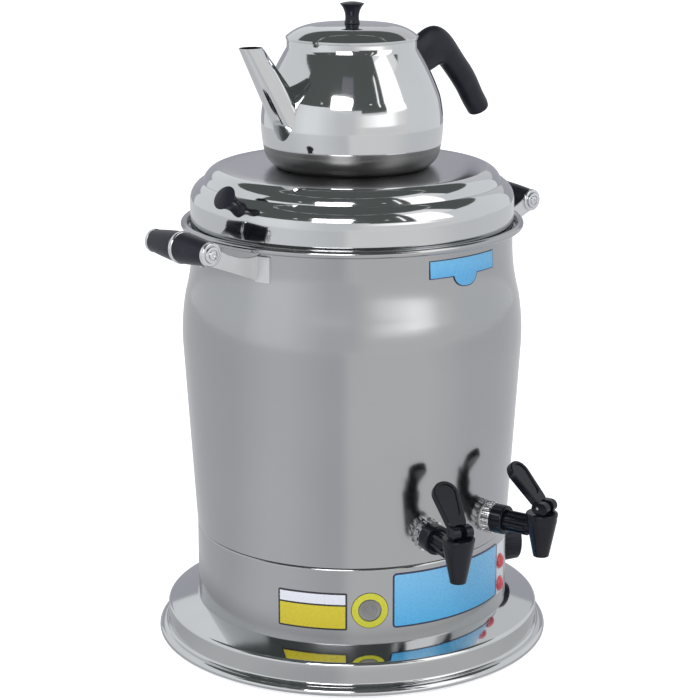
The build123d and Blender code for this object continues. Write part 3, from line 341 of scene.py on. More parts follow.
def plate(form, radius, angles, levels, corner, thickness, steps=48, bend=6, swell=None):
    """Adds a plate with rounded corners, bent to a round wall, between two angles and levels."""
    middle = (angles[0] + angles[1]) / 2
    half = radians(angles[1] - angles[0]) / 2 * radius
    turns = [corner * (1 - cos(pi / 2 * i / bend)) for i in range(bend + 1)] if corner else [0]
    straight = [corner + 2 * (half - corner) * i / steps for i in range(1, steps)]
    offsets = turns + straight + [2 * half - turn for turn in reversed(turns)]
    face = radius + thickness
    rows = []
    for offset in offsets:
        depth = corner - min(offset, 2 * half - offset, corner)
        cut = corner - max(corner**2 - depth**2, 0) ** 0.5
        low, high = levels[0] + cut, levels[1] - cut
        row = []
        for r, z in ((radius, low), (radius, high), (face, high), (face, low)):
            reach = r + (swell(z) if swell else 0)
            row.append(form.verts.new(wall_point(reach, middle, offset - half, z)))
        rows.append(row)
    skinned(form, rows)
    form.faces.new(rows[0])
    form.faces.new(rows[-1])


film_stand = 0.0001
film_thickness = 0.0002
border = 0.0018
blue_angles = (-26.7, 24.8)
blue_levels = (0.0555, 0.112)
blue_corner = 0.004
lamp_strip_angles = (25.2, 34.0)
lamp_strip_levels = (0.055, 0.109)
notice_angles = (-67.8, -42.7)
notice_levels = (0.055, 0.0934)
notice_header = 0.0815
navy_ink = film("navy_ink", (0.010, 0.016, 0.060), (0.014, 0.022, 0.075), blue_levels)
blue_ink = film("blue_ink", (0.058, 0.41, 0.76), (0.19, 0.53, 0.85), blue_levels)
white_ink = film("white_ink", (0.72, 0.74, 0.82), (0.80, 0.82, 0.90), lamp_strip_levels)
black_ink = film("black_ink", (0.012, 0.012, 0.015), (0.016, 0.016, 0.020), notice_levels)
yellow_ink = film("yellow_ink", (0.60, 0.50, 0.014), (0.66, 0.56, 0.024), notice_levels)


def inset(angles, levels, margin):
    """The same field on the band, smaller by a margin all round."""
    turn = degrees(margin / band_radius)
    return (angles[0] + turn, angles[1] - turn), (levels[0] + margin, levels[1] - margin)


print_radius = band_radius + film_stand
field_radius = print_radius + film_thickness
blue_field = inset(blue_angles, blue_levels, border)
notice_span, notice_inside = inset(notice_angles, notice_levels, border)
notice_lower = (notice_inside[0], notice_header - border)
notice_upper = (notice_header, notice_inside[1])
for name, ink, radius, angles, levels, corner in (
    ("name_plate_border", navy_ink, print_radius, blue_angles, blue_levels, blue_corner),
    ("name_plate_field", blue_ink, field_radius, *blue_field, blue_corner - border),
    ("lamp_strip", white_ink, print_radius, lamp_strip_angles, lamp_strip_levels, border),
    ("notice_border", black_ink, print_radius, notice_angles, notice_levels, border),
    ("notice_field", yellow_ink, field_radius, notice_span, notice_lower, 0),
    ("notice_header", white_ink, field_radius, notice_span, notice_upper, 0),
):
    label = bmesh.new()
    plate(label, radius, angles, levels, corner, film_thickness)
    show(name, label, ink, "urn")

# Indicator lamps: two domed lenses of clear red plastic, one above the other, pushed through the
# band. A fine mottle in the lens scatters the light of the neon behind it.


def out_of_wall(angle, radius, height):
    """Place on the urn's wall: z points outwards, y points up, x runs along the wall."""
    a = radians(angle)
    turn = Matrix(((cos(a), 0, sin(a)), (sin(a), 0, -cos(a)), (0, 1, 0))).to_4x4()
    return Matrix.Translation((radius * sin(a), -radius * cos(a), height)) @ turn


def dome(radius, foot, rise, steps=12):
    """Outline of a dome of this rise, from its edge to its middle."""
    ball = (radius**2 + rise**2) / (2 * rise)
    half = acos((ball - rise) / ball)
    angles = [half * (1 - i / steps) for i in range(steps + 1)]
    return [Vector((ball * sin(a), foot + rise - ball + ball * cos(a))) for a in angles]


def lens(name, colour, mottle_size):
    """Clear coloured lens, finely mottled under a hard gloss."""
    material, tree, skin, place = new_material(name)
    mottle = noise(tree, place, mottle_size, detail=2.0)
    looks = {
        "Base Color": ramp(tree, mottle, toned(colour, 0.75), toned(colour, 1.3)),
        "Roughness": 0.18,
        "Normal": relief(tree, mottle, strength=0.15, distance=0.0003),
        "Coat Weight": 1.0,
        "Coat Roughness": 0.04,
        "Subsurface Weight": 0.4,
        "Subsurface Scale": 0.003,
        "Emission Color": (*colour, 1),
        "Emission Strength": 0.12,
    }
    feed(tree, skin, looks)
    return material


lamp_angle = 28.2
lamp_radius = 0.008
lamp_rim = 0.0012
lamp_dome = 0.004
lamp_body = 0.005
lamp_depth = 0.024
red_lens = lens("red_lens", (0.50, 0.025, 0.045), mottle_size=700.0)
lamp_outline = [(0, -lamp_depth), (lamp_body, -lamp_depth), (lamp_body, 0), (lamp_radius, 0)]
lamp_outline += dome(lamp_radius, lamp_rim, lamp_dome)
for node in ("indicator_lamp_upper", "indicator_lamp_lower"):
    lamp_low, lamp_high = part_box(node)
    lamp = bmesh.new()
    lamp_place = out_of_wall(lamp_angle, band_radius, (lamp_low.z + lamp_high.z) / 2)
    spun(lamp, lamp_outline, lamp_place, turns=64)
    show(node.replace("indicator_", "red_"), lamp, red_lens, "urn", [node])

# Sounder: a grey plastic disc that warns when the water runs low, pushed through the band inside a
# printed yellow ring.


def plastic(name, colour, roughness, depth=0.06, size=900.0, sheen=0.25, coat=0.0):
    """Moulded plastic: a fine mould texture, with the gloss a little uneven from handling."""
    material, tree, skin, place = new_material(name)
    texture = noise(tree, place, size, detail=3.0)
    wear = noise(tree, place, size=45.0, detail=5.0)
    span = (0.35, 0.75)
    looks = {
        "Base Color": ramp(tree, wear, toned(colour, 0.8), toned(colour, 1.25), span),
        "Roughness": spread(tree, wear, roughness, shares=(0.7, 1.4)),
        "Normal": relief(tree, texture, depth),
        "Specular IOR Level": sheen,
        "Coat Weight": coat,
        "Coat Roughness": 0.06,
    }
    feed(tree, skin, looks)
    return material


buzzer_low, buzzer_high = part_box("buzzer")
buzzer_angle = -34.8
buzzer_height = (buzzer_low.z + buzzer_high.z) / 2
buzzer_radius = (buzzer_high.z - buzzer_low.z) / 2
buzzer_face = 0.0015
buzzer_depth = 0.012
buzzer_grooves = 3
groove_depth = 0.0004
ring_outer = 0.0183
ring_line = 0.0006
ring_gap = 0.0004
grey_plastic = plastic("grey_plastic", (0.26, 0.26, 0.255), roughness=0.42)
ring_ink = film("ring_ink", (0.56, 0.55, 0.022), (0.64, 0.63, 0.030), notice_levels)
buzzer_outline = [
    (0, -buzzer_depth),
    (buzzer_radius - buzzer_face, -buzzer_depth),
    (buzzer_radius - buzzer_face, 0),
    (buzzer_radius, 0),
    (buzzer_radius, buzzer_face / 2),
    (buzzer_radius - buzzer_face / 2, buzzer_face),
]
for i in range(buzzer_grooves, 0, -1):
    reach = (buzzer_radius - buzzer_face) * i / (buzzer_grooves + 1)
    buzzer_outline += [
        (reach + groove_depth, buzzer_face),
        (reach, buzzer_face - groove_depth),
        (reach - groove_depth, buzzer_face),
    ]
buzzer_outline += [(0, buzzer_face)]
buzzer = bmesh.new()
spun(buzzer, buzzer_outline, out_of_wall(buzzer_angle, band_radius, buzzer_height), turns=72)
show("sounder", buzzer, grey_plastic, "urn", ["buzzer"])

ring_turns = 96
ring_inner = buzzer_radius + ring_gap
for name, ink, radius, inner, outer in (
    ("sounder_ring_edges", black_ink, print_radius, ring_inner, ring_outer),
    ("sounder_ring", ring_ink, field_radius, ring_inner + ring_line, ring_outer - ring_line),
):
    ring = bmesh.new()
    face = radius + film_thickness
    rows = []
    for i in range(ring_turns):
        a = 2 * pi * i / ring_turns
        row = []
        for reach, r in ((inner, radius), (outer, radius), (outer, face), (inner, face)):
            height = buzzer_height + reach * sin(a)
            row.append(ring.verts.new(wall_point(r, buzzer_angle, reach * cos(a), height)))
        rows.append(row)
    skinned(ring, rows + rows[:1])
    show(name, ring, ink, "urn")

# Thermostat: a black bakelite knob with a ribbed grip on the right of the band. The shaft, its nut
# and the switch box sit behind the wall.
broad_easing = 0.0006
flat_angle = radians(0.5)
moulded_crease = radians(35)


def eased(name, nodes, material, body, easing, crease=moulded_crease):
    """Copy of solids as one moulded piece, with its edges eased by a small bevel."""
    form = bmesh.new()
    for node in nodes:
        form.from_mesh(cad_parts[node].data)
    bmesh.ops.remove_doubles(form, verts=form.verts, dist=weld_gap)
    bmesh.ops.dissolve_limit(form, angle_limit=flat_angle, verts=form.verts, edges=form.edges)
    piece = show(name, form, material, body, nodes, sharp=crease)
    edge = piece.modifiers.new("edge", "BEVEL")
    edge.width = easing
    edge.segments = 2
    edge.limit_method = "ANGLE"
    edge.angle_limit = crease
    even = piece.modifiers.new("even", "WEIGHTED_NORMAL")
    even.keep_sharp = True


bakelite = plastic("bakelite", (0.016, 0.0165, 0.026), roughness=0.30)
ivory_plastic = plastic("ivory_plastic", (0.62, 0.58, 0.48), roughness=0.45)
chrome = steel(
    "chrome", (0.74, 0.745, 0.76), roughness=0.10, grain=(220, 220, 220), depth=0.02, size=60.0
)
knob = ["thermostat_knob"]
eased("thermostat_dial_knob", knob, bakelite, "thermostat_dial", broad_easing)
dress(chrome, "thermostat_shaft")
dress(zinc, "thermostat_nut")
dress(ivory_plastic, "thermostat", "terminal_block", "dry_boil_cutout")

# Cable gland: a black moulded inlet at the back. It goes through a hole in the band and is clamped
# from inside by its nut.
fine_easing = 0.0005
black_plastic = plastic(
    "black_plastic", (0.008, 0.0085, 0.014), roughness=0.20, sheen=0.18, coat=0.2
)
eased("cable_inlet", ["cable_gland"], black_plastic, "urn", fine_easing)
dress(black_plastic, "gland_nut")

# Heating element: a loop of sheathed rod above the tank's floor, darkened by heat, with brass nuts
# on its two legs.
element_sheath = steel(
    "element_sheath",
    (0.20, 0.19, 0.185),
    roughness=0.42,
    grain=(160, 160, 160),
    depth=0.25,
    size=40.0,
)
brass = steel(
    "brass", (0.60, 0.43, 0.17), roughness=0.30, grain=(300, 300, 300), depth=0.10, size=80.0
)
dress(element_sheath, "heating_element")
dress(brass, "element_nuts")

# Tank: a wall of satin steel that swells upwards to a drawn shoulder and a straight neck. Its rim
# is turned out and rolled into a bead that holds the lid.


def arc(start, middle, end, steps=20):
    """Points of the arc through three points of an outline, shorter than half a circle."""
    a, b, c = (complex(*point) for point in (start, middle, end))
    w = (c - a) / (b - a)
    centre = a - (a - b) * (w - abs(w) ** 2) / (2j * w.imag)
    turn = phase((c - centre) / (a - centre))
    points = [centre + (a - centre) * rect(1, turn * i / steps) for i in range(steps + 1)]
    return [Vector((point.real, point.imag)) for point in points]


shell_low, shell_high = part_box("body_shell")
shell_foot = shell_low.z
bulge_swell = 0.0116
bulge_rise = 0.190
shoulder_rise = 0.080
neck_step = 0.001
bulge_radius = band_radius + bulge_swell
bulge_height = shell_foot + bulge_rise
neck_height = bulge_height + shoulder_rise
shoulder_shares = (0.77, 0.56)
neck_radius = band_radius + neck_step
wall_rows = 24
rim_roll = 0.0036
rim_flange = shell_high.z - 2 * rim_roll
rim_radius = shell_high.x
rim_turn = 24
neck_bend = 0.0015
shoulder_blend = 0.030
shoulder = arc(
    (bulge_radius, bulge_height),
    (
        neck_radius + (bulge_radius - neck_radius) * shoulder_shares[0],
        bulge_height + (neck_height - bulge_height) * shoulder_shares[1],
    ),
    (neck_radius, neck_height),
    steps=40,
)
shell_outline = [
    Vector((band_radius, shell_foot)).lerp(Vector((bulge_radius, bulge_height)), i / wall_rows)
    for i in range(wall_rows)
]
shoulder_lean = (shoulder[-1] - shoulder[-2]).normalized()
blend_radius = shoulder_blend / tan(Vector((0, 1)).angle(shoulder_lean) / 2)
shell_outline += [point for point in shoulder if (shoulder[-1] - point).length > shoulder_blend]
shell_outline += rounded(
    (
        shell_outline[-1],
        (neck_radius, neck_height),
        (neck_radius, rim_flange),
        (rim_radius - rim_roll, rim_flange),
    ),
    (blend_radius, neck_bend),
    steps=10,
)[1:]
bead_centre = Vector((rim_radius - rim_roll, rim_flange + rim_roll))
bead_angles = [2 * pi * i / rim_turn for i in range(rim_turn)]
bead = [bead_centre + Vector((cos(a), sin(a))) * rim_roll for a in bead_angles]
tank = bmesh.new()
spun(tank, walled(shell_outline, sheet))
spun(tank, bead)
show("tank", tank, satin_steel, "urn", ["body_shell"])
dress(satin_steel, "tank_floor")

# Badge: printed film stuck to the neck, a blue field with a rounded tab below it. It is bent to the
# wall and follows the hollow bend above the shoulder.
badge_angles = (-14.2, 16.3)
badge_levels = (0.4017, 0.4195)
tab_angles = (-4.6, 6.7)
tab_levels = (0.391, 0.4185)
tab_corner = 0.0135
badge_radius = neck_radius + film_stand
badge_field_radius = badge_radius + film_thickness
badge_margin = border / 2
badge_field = inset(badge_angles, badge_levels, badge_margin)
tab_field = inset(tab_angles, tab_levels, badge_margin)
badge_ink = film("badge_ink", (0.09, 0.40, 0.74), (0.16, 0.52, 0.86), badge_levels)


def neck_swell(height):
    """How far the hollow bend above the shoulder stands out from the neck's wall at a height."""
    return max(neck_height + shoulder_blend - height, 0) ** 2 / (2 * blend_radius)


for name, ink, radius, fields in (
    (
        "badge_border",
        navy_ink,
        badge_radius,
        ((badge_angles, badge_levels, 0), (tab_angles, tab_levels, tab_corner)),
    ),
    (
        "badge_face",
        badge_ink,
        badge_field_radius,
        ((*badge_field, 0), (*tab_field, tab_corner - badge_margin)),
    ),
):
    badge = bmesh.new()
    for angles, levels, corner in fields:
        corner = min(corner, (levels[1] - levels[0]) / 2)
        plate(badge, radius, angles, levels, corner, film_thickness, swell=neck_swell)
    show(name, badge, ink, "urn")

# Taps: moulded black bodies on chrome collars. A pull on the lever rolls its cam on the bonnet
# and lifts the stem with its silicone cup off the seat.


def baked(maker):
    """Form of an object as its modifiers make it. The object itself is used up."""
    graph = bpy.context.evaluated_depsgraph_get()
    mesh = bpy.data.meshes.new_from_object(maker.evaluated_get(graph))
    form = bmesh.new()
    form.from_mesh(mesh)
    bpy.data.meshes.remove(mesh)
    bpy.data.objects.remove(maker)
    return form


def ridged_ring(name, material, place, sizes, core_turns=96, ridge_turns=12):
    """Turned ring with a bar along each ridge, made by a node tree and set at its place."""
    tree = bpy.data.node_groups.new(name, "GeometryNodeTree")
    tree.interface.new_socket("Geometry", in_out="OUTPUT", socket_type="NodeSocketGeometry")
    for key, value in sizes.items():
        kind = "NodeSocketInt" if isinstance(value, int) else "NodeSocketFloat"
        tree.interface.new_socket(key, in_out="INPUT", socket_type=kind)
    given = add_node(tree, "NodeGroupInput").outputs
    core = add_node(
        tree,
        "GeometryNodeMeshCylinder",
        {"Vertices": core_turns, "Radius": given["Core Radius"], "Depth": given["Length"]},
    )
    bar = add_node(
        tree,
        "GeometryNodeMeshCylinder",
        {"Vertices": ridge_turns, "Radius": given["Ridge Radius"], "Depth": given["Ridge Length"]},
    )
    seats = add_node(
        tree,
        "GeometryNodeMeshCircle",
        {"Vertices": given["Ridges"], "Radius": given["Core Radius"]},
    )
    bars = add_node(
        tree,
        "GeometryNodeInstanceOnPoints",
        {"Points": seats.outputs["Mesh"], "Instance": bar.outputs["Mesh"]},
    )
    both = add_node(tree, "GeometryNodeJoinGeometry", {"Geometry": core.outputs["Mesh"]})
    tree.links.new(bars.outputs[0], both.inputs[0])
    real = add_node(tree, "GeometryNodeRealizeInstances", {0: both.outputs[0]})
    finish = add_node(tree, "GeometryNodeSetMaterial", {0: real.outputs[0], "Material": material})
    add_node(tree, "NodeGroupOutput", {0: finish.outputs[0]})

    maker = linked(f"{name}_maker", bmesh.new())
    modifier = maker.modifiers.new(name, "NODES")
    modifier.node_group = tree
    for item in tree.interface.items_tree:
        if item.in_out == "INPUT":
            modifier[item.identifier] = sizes[item.name]
    form = baked(maker)
    form.transform(place)
    return form


silicone = plastic("silicone", (0.62, 0.62, 0.58), roughness=0.5)
tap_angle = 14.5
nut_ridges = 14
nut_ridge = 0.002
nut_length = 0.009
for side, turn in (("left", -1), ("right", 1)):
    nut_low, nut_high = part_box(f"tap_nut_{side}")
    nut_middle = (nut_low + nut_high) / 2
    nut_radius = (nut_high.z - nut_low.z) / 2
    nut_place = out_of_wall(turn * tap_angle, nut_middle.xy.length, nut_middle.z)
    nut = ridged_ring(
        f"tap_nut_ridges_{side}",
        chrome,
        nut_place,
        {
            "Core Radius": nut_radius - nut_ridge,
            "Length": nut_length,
            "Ridges": nut_ridges,
            "Ridge Radius": nut_ridge,
            "Ridge Length": nut_length - nut_ridge,
        },
    )
    show(f"tap_collar_{side}", nut, chrome, "urn", [f"tap_nut_{side}"])
    for piece, node, body, easing in (
        ("tap_barrel", "tap_body", "urn", broad_easing),
        ("tap_cap", "tap_bonnet", "urn", fine_easing),
        ("tap_paddle", "tap_lever", f"lever_{side}", broad_easing),
    ):
        nodes = [f"{node}_{side}"]
        eased(f"{piece}_{side}", nodes, black_plastic, body, easing)
    dress(chrome, f"tap_pin_{side}")
    dress(black_plastic, f"tap_back_nut_{side}", f"tap_stem_{side}")
    dress(silicone, f"tap_washers_{side}", f"tap_seat_cup_{side}")

# Side handles: two turned bakelite grips and a chrome ring on a tie rod. The rod is held between
# two pressed straps welded to the neck, and stepped chrome caps close its ends.
grip_half = 0.0415
grip_middle = 0.015
grip_belly = 0.0134
grip_end = 0.011
grip_edge = 0.0012
ring_width = 0.005
ring_edge = 0.0012
rod_radius = 0.003
strap_thickness = 0.002
cap_radius = 0.0113
cap_rim = 0.0025
cap_face_radius = 0.0085
cap_steps = (
    (0.0085, 0.0017),
    (0.0081, 0.0017),
    (0.0075, 0.0042),
    (0.0052, 0.0045),
    (0.0049, 0.0028),
    (0.0043, 0.0028),
    (0.0040, 0.0047),
    (0.0017, 0.0051),
    (0.0015, 0.0024),
    (0.0, 0.0024),
)
cap_edge = 0.0002
along_rod = Matrix(((1, 0, 0), (0, 0, 1), (0, -1, 0))).to_4x4()
bracket_steel = steel(
    "bracket_steel", (0.72, 0.73, 0.74), roughness=0.32, grain=(60, 60, 60), depth=0.08, size=50.0
)
for side in ("left", "right"):
    ring_low, ring_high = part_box(f"handle_ring_{side}")
    ring_radius = (ring_high.z - ring_low.z) / 2
    rod_middle = (ring_low + ring_high) / 2
    grips = bmesh.new()
    caps = bmesh.new()
    for way in (Matrix(), Matrix.Rotation(pi, 4, "X")):
        end_place = Matrix.Translation(rod_middle) @ along_rod @ way
        belly = arc(
            (grip_middle, ring_width / 2 + grip_edge),
            (grip_belly, (ring_width / 2 + grip_half) / 2),
            (grip_end, grip_half),
        )
        spun(
            grips,
            [(rod_radius, ring_width / 2), (grip_middle - grip_edge, ring_width / 2)]
            + belly
            + [(rod_radius, grip_half)],
            end_place,
            turns=72,
        )
        cap_foot = grip_half + strap_thickness
        cap_outline = [(0, cap_foot)] + rounded(
            (
                (cap_radius, cap_foot),
                (cap_radius, cap_foot + cap_rim),
                (cap_face_radius, cap_foot + cap_rim),
            ),
            (cap_rim / 2,),
        )
        cap_outline += rounded(
            [(radius, cap_foot + rise) for radius, rise in cap_steps],
            [cap_edge] * (len(cap_steps) - 2),
            steps=3,
        )
        spun(caps, cap_outline, end_place, turns=64)
    show(f"grips_{side}", grips, bakelite, "urn", [f"handle_grips_{side}"])
    show(f"end_caps_{side}", caps, chrome, "urn", [f"handle_caps_{side}"])
    band_ring = bmesh.new()
    ring_profile = rounded(
        (
            (rod_radius, -ring_width / 2),
            (ring_radius, -ring_width / 2),
            (ring_radius, ring_width / 2),
            (rod_radius, ring_width / 2),
        ),
        (ring_edge, ring_edge),
    )
    spun(band_ring, ring_profile, Matrix.Translation(rod_middle) @ along_rod, turns=72)
    show(f"grip_ring_{side}", band_ring, chrome, "urn", [f"handle_ring_{side}"])
    straps = [f"handle_brackets_{side}"]
    eased(f"straps_{side}", straps, bracket_steel, "urn", fine_easing)
    dress(chrome, f"handle_rod_{side}")

# Urn lid: a spun cover in two rounded tiers of mirror-polished steel, with a skirt inside the
# neck. The teapot stands on its flat top.
lid_low, lid_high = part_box("urn_lid")
lid_rest = rim_flange + sheet
lid_wall_radius = lid_high.x
lid_wall_height = 0.028
lid_shoulder_width = 0.012
lid_shoulder_rise = 0.017
lid_tier_width = 0.015
lid_tier_rise = 0.014
lid_groove = 0.0012
lid_seat_shares = (0.78, 0.5)
skirt_gap = 0.0003
lid_top_rings = 8
level_share = 0.999
lid_top_steel = steel(
    "lid_top_steel", (0.52, 0.525, 0.545), roughness=0.21, grain="rings", depth=0.12
)
lid_shoulder = lid_rest + lid_wall_height
lid_step_radius = lid_wall_radius - lid_shoulder_width
lid_step = lid_shoulder + lid_shoulder_rise
lid_top_radius = lid_step_radius - lid_groove - lid_tier_width
lid_top = lid_high.z
lid_outline = rounded(
    (
        (neck_radius - sheet - skirt_gap, lid_low.z),
        (neck_radius - sheet - skirt_gap, lid_rest),
        (lid_wall_radius, lid_rest),
        (lid_wall_radius, lid_shoulder),
    ),
    (sheet / 2, sheet),
    steps=4,
)
lid_outline += arc(
    (lid_wall_radius, lid_shoulder),
    (
        lid_step_radius + lid_shoulder_width * lid_seat_shares[0],
        lid_shoulder + lid_shoulder_rise * lid_seat_shares[1],
    ),
    (lid_step_radius, lid_step),
)[1:]
lid_outline += arc(
    (lid_step_radius - lid_groove, lid_step),
    (
        lid_top_radius + lid_tier_width * lid_seat_shares[0],
        lid_step + lid_tier_rise * lid_seat_shares[1],
    ),
    (lid_top_radius, lid_top),
)
lid_outline += [
    Vector((lid_top_radius * (1 - i / lid_top_rings), lid_top)) for i in range(1, lid_top_rings + 1)
]
lid = bmesh.new()
spun(lid, walled(lid_outline, sheet))
lid_cover = show("lid", lid, polished_steel, "lid", ["urn_lid"])
lid_cover.data.materials.append(lid_top_steel)
for face in lid_cover.data.polygons:
    face.material_index = int(face.normal.z > level_share)
eased("lid_trumpet", ["lid_knob"], bakelite, "lid", fine_easing)
dress(zinc, "lid_knob_screw")

# Teapot: a thin drawn vessel of mirror-polished steel on a thick brushed base. A straight spout is
# welded to its left side and a moulded hook handle is screwed to a tongue on its right.
pot_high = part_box("pot_body")[1]
pot_base_low, pot_base_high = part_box("pot_base")
pot_foot = pot_base_low.z
pot_base_height = 0.019
pot_radius = pot_high.x
pot_base_radius = pot_base_high.x
pot_foot_inset = 0.0163
pot_shoulder_inset = 0.0035
pot_neck_inset = 0.026
pot_foot_radius = pot_radius - pot_foot_inset
pot_base_wall = 0.0012
pot_bottom = 0.0025
pot_wall = 0.0008
pot_belly = 0.041
pot_shoulder_radius = pot_radius - pot_shoulder_inset
pot_shoulder = 0.071
pot_neck_radius = pot_radius - pot_neck_inset
pot_neck = 0.1175
pot_shoulder_bulge = 0.0016
foot_curve_shares = (0.62, 0.34)
# The base's steel is brushed, and its dark colour is a painted reflection: it stands in for the
# dark reflection of the lid top under the pot.
brushed_steel = steel(
    "brushed_steel", (0.25, 0.245, 0.24), roughness=0.30, grain="rings", depth=0.20
)


def foot_curve(foot_radius, foot, seam_radius, seam):
    """Rounded lower edge of the pot, from its flat foot to the seam of its base."""
    return arc(
        (foot_radius, foot),
        (
            foot_radius + (seam_radius - foot_radius) * foot_curve_shares[0],
            foot + (seam - foot) * foot_curve_shares[1],
        ),
        (seam_radius, seam),
    )


pot_seam = pot_foot + pot_base_height
brushed_rise = 0.0033
pot_floor = pot_foot + pot_bottom
cup_inside = foot_curve(
    pot_foot_radius - pot_base_wall, pot_floor, pot_base_radius - pot_base_wall, pot_seam
)
base_cup = bmesh.new()
cup_outline = [(0, pot_foot)]
cup_outline += foot_curve(pot_foot_radius, pot_foot, pot_base_radius, pot_seam)
cup_outline += cup_inside[::-1] + [(0, pot_floor)]
spun(base_cup, cup_outline)
show("teapot_base", base_cup, brushed_steel, "teapot", ["pot_base"])

pot_side = arc(
    (pot_base_radius, pot_seam),
    (pot_radius, pot_foot + pot_belly),
    (pot_shoulder_radius, pot_foot + pot_shoulder),
    steps=24,
)
pot_side += arc(
    (pot_shoulder_radius, pot_foot + pot_shoulder),
    (
        (pot_shoulder_radius + pot_neck_radius) / 2 + pot_shoulder_bulge,
        pot_foot + (pot_shoulder + pot_neck) / 2,
    ),
    (pot_neck_radius, pot_foot + pot_neck),
    steps=24,
)[1:]
pot_side += [Vector((pot_neck_radius, pot_high.z))]
pot_outline = [Vector((0, pot_floor))] + cup_inside + pot_side

spout_reach = 0.084
spout_rise = 0.059
spout_tip_rise = 0.1257
spout_bored = 0.8
spout_root = Vector((-spout_reach, 0, pot_foot + spout_rise))
spout_lean = radians(56.7)
spout_root_radius = 0.0176
spout_tip_radius = 0.0102
spout_tip = pot_foot + spout_tip_rise
spout_axis = Vector((-cos(spout_lean), 0, sin(spout_lean)))
spout_length = (spout_tip - spout_root.z) / sin(spout_lean)
spout_turns = 96
spout_rows = 12
spout_sunk = 0.024


def less(form, cutter):
    """What is left of a closed form after another closed form is taken away from it."""
    whole, tool = (linked("cut", sealed(shape)) for shape in (form, cutter))
    cut = whole.modifiers.new("cut", "BOOLEAN")
    cut.operation = "DIFFERENCE"
    cut.solver = "EXACT"
    cut.object = tool
    left = baked(whole)
    bpy.data.objects.remove(tool)
    return left


def spout_ring(form, share, wall, level=None):
    """Ring of points round the spout's cone: at a share of its length, or cut at a level."""
    side = Vector((0, 1, 0))
    up = spout_axis.cross(side)
    points = []
    for i in range(spout_turns):
        a = 2 * pi * i / spout_turns
        spoke = side * cos(a) + up * sin(a)
        foot = spout_root + spoke * (spout_root_radius - wall)
        tip = spout_root + spout_axis * spout_length + spoke * (spout_tip_radius - wall)
        reach = share if level is None else (level - foot.z) / (tip.z - foot.z)
        points.append(form.verts.new(foot.lerp(tip, reach)))
    return points


sunk_share = -spout_sunk / spout_length
bore = bmesh.new()
bore_ends = [spout_ring(bore, share, pot_wall) for share in (sunk_share, spout_bored)]
skinned(bore, bore_ends)
for ring in bore_ends:
    bore.faces.new(ring)
pot = bmesh.new()
spun(pot, walled(pot_outline, pot_wall))
bored = less(pot, bore)
vessel_body = show("teapot_body", bored, polished_steel, "teapot", ["pot_body"])
# The band of the body just above the seam takes the same brushed steel, darkened with painted
# reflection.
vessel_body.data.materials.append(brushed_steel)
for face in vessel_body.data.polygons:
    face.material_index = int(face.center.z < pot_seam + brushed_rise)

spout = bmesh.new()
bored_length = spout_bored - sunk_share
shares = [sunk_share + bored_length * i / spout_rows for i in range(spout_rows + 1)]
outside = [spout_ring(spout, share, 0) for share in shares] + [spout_ring(spout, 1, 0, spout_tip)]
inside = [spout_ring(spout, share, pot_wall) for share in shares]
inside += [spout_ring(spout, 1, pot_wall, spout_tip)]
skinned(spout, outside + inside[::-1] + outside[:1])
vessel = bmesh.new()
spun(vessel, pot_side + [Vector((0, pot_high.z)), Vector((0, pot_seam))])
show("teapot_spout", less(spout, vessel), polished_steel, "teapot", ["pot_spout"])
hook_easing = 0.0004
hook_crease = radians(50)
eased("teapot_handle", ["pot_handle"], bakelite, "teapot", hook_easing, hook_crease)
dress(bracket_steel, "pot_handle_tongue")
dress(zinc, "pot_handle_screw")

# Teapot lid: a shallow dome spun from thin polished steel, with a flat rim on the neck and a skirt
# inside it. It is lifted by a black trumpet knob.
pot_lid_low, pot_lid_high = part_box("pot_lid")
pot_lid_radius = pot_lid_high.x
pot_lid_rim = 0.0026
pot_lid_dome = 0.012
dome_middle_shares = (0.85, 0.55)
dome_end_shares = (0.62, 0.92)
crown_flat = 0.0086
dome_foot = pot_high.z + pot_lid_rim
dome_middle, dome_end = (
    Vector((pot_lid_radius * out, dome_foot + pot_lid_dome * up))
    for out, up in (dome_middle_shares, dome_end_shares)
)
pot_lid_outline = rounded(
    (
        (pot_neck_radius - pot_wall - skirt_gap, pot_lid_low.z),
        (pot_neck_radius - pot_wall - skirt_gap, pot_high.z),
        (pot_lid_radius, pot_high.z),
        (pot_lid_radius, dome_foot),
    ),
    (pot_wall / 2, pot_wall),
    steps=4,
)
pot_lid_outline += arc((pot_lid_radius, dome_foot), dome_middle, dome_end)[1:]
pot_lid_outline += [Vector((crown_flat, pot_lid_high.z)), Vector((0, pot_lid_high.z))]
pot_lid = bmesh.new()
spun(pot_lid, walled(pot_lid_outline, pot_wall))
show("teapot_lid", pot_lid, polished_steel, "teapot_lid", ["pot_lid"])
eased("teapot_trumpet", ["pot_lid_knob"], bakelite, "teapot_lid", fine_easing)
dress(zinc, "pot_knob_screw")

# Stage: a pale table and the studio round it. The metal shows a dim room behind the camera with lit
# panels in it, pale cloths at the sides, and the table, whose light runs softly from side to side.
stage_radius = 3.6
stage_height = 0.45
floor_size = 60.0
floor_strength = 0.62
camera_turn = -41.0


def glow(name, colour, strength=1.0):
    """Plain even light of a panel of the studio."""
    material, tree = new_material(name)[:2]
    tree.nodes.clear()
    light = add_node(tree, "ShaderNodeEmission", {"Color": (*colour, 1), "Strength": strength})
    add_node(tree, "ShaderNodeOutputMaterial", {0: light.outputs[0]})
    return material


def card(name, form, material):
    """Part of the studio that is seen only in the polish of the object."""
    made = linked(name, form)
    made.data.materials.append(material)
    made.visible_camera = False
    made.visible_diffuse = False
    made.visible_shadow = False


def strips(form, lines):
    """Faces between lines of points, each line joined to the next."""
    for line, other in zip(lines, lines[1:]):
        for j in range(len(line) - 1):
            form.faces.new((line[j], line[j + 1], other[j + 1], other[j]))


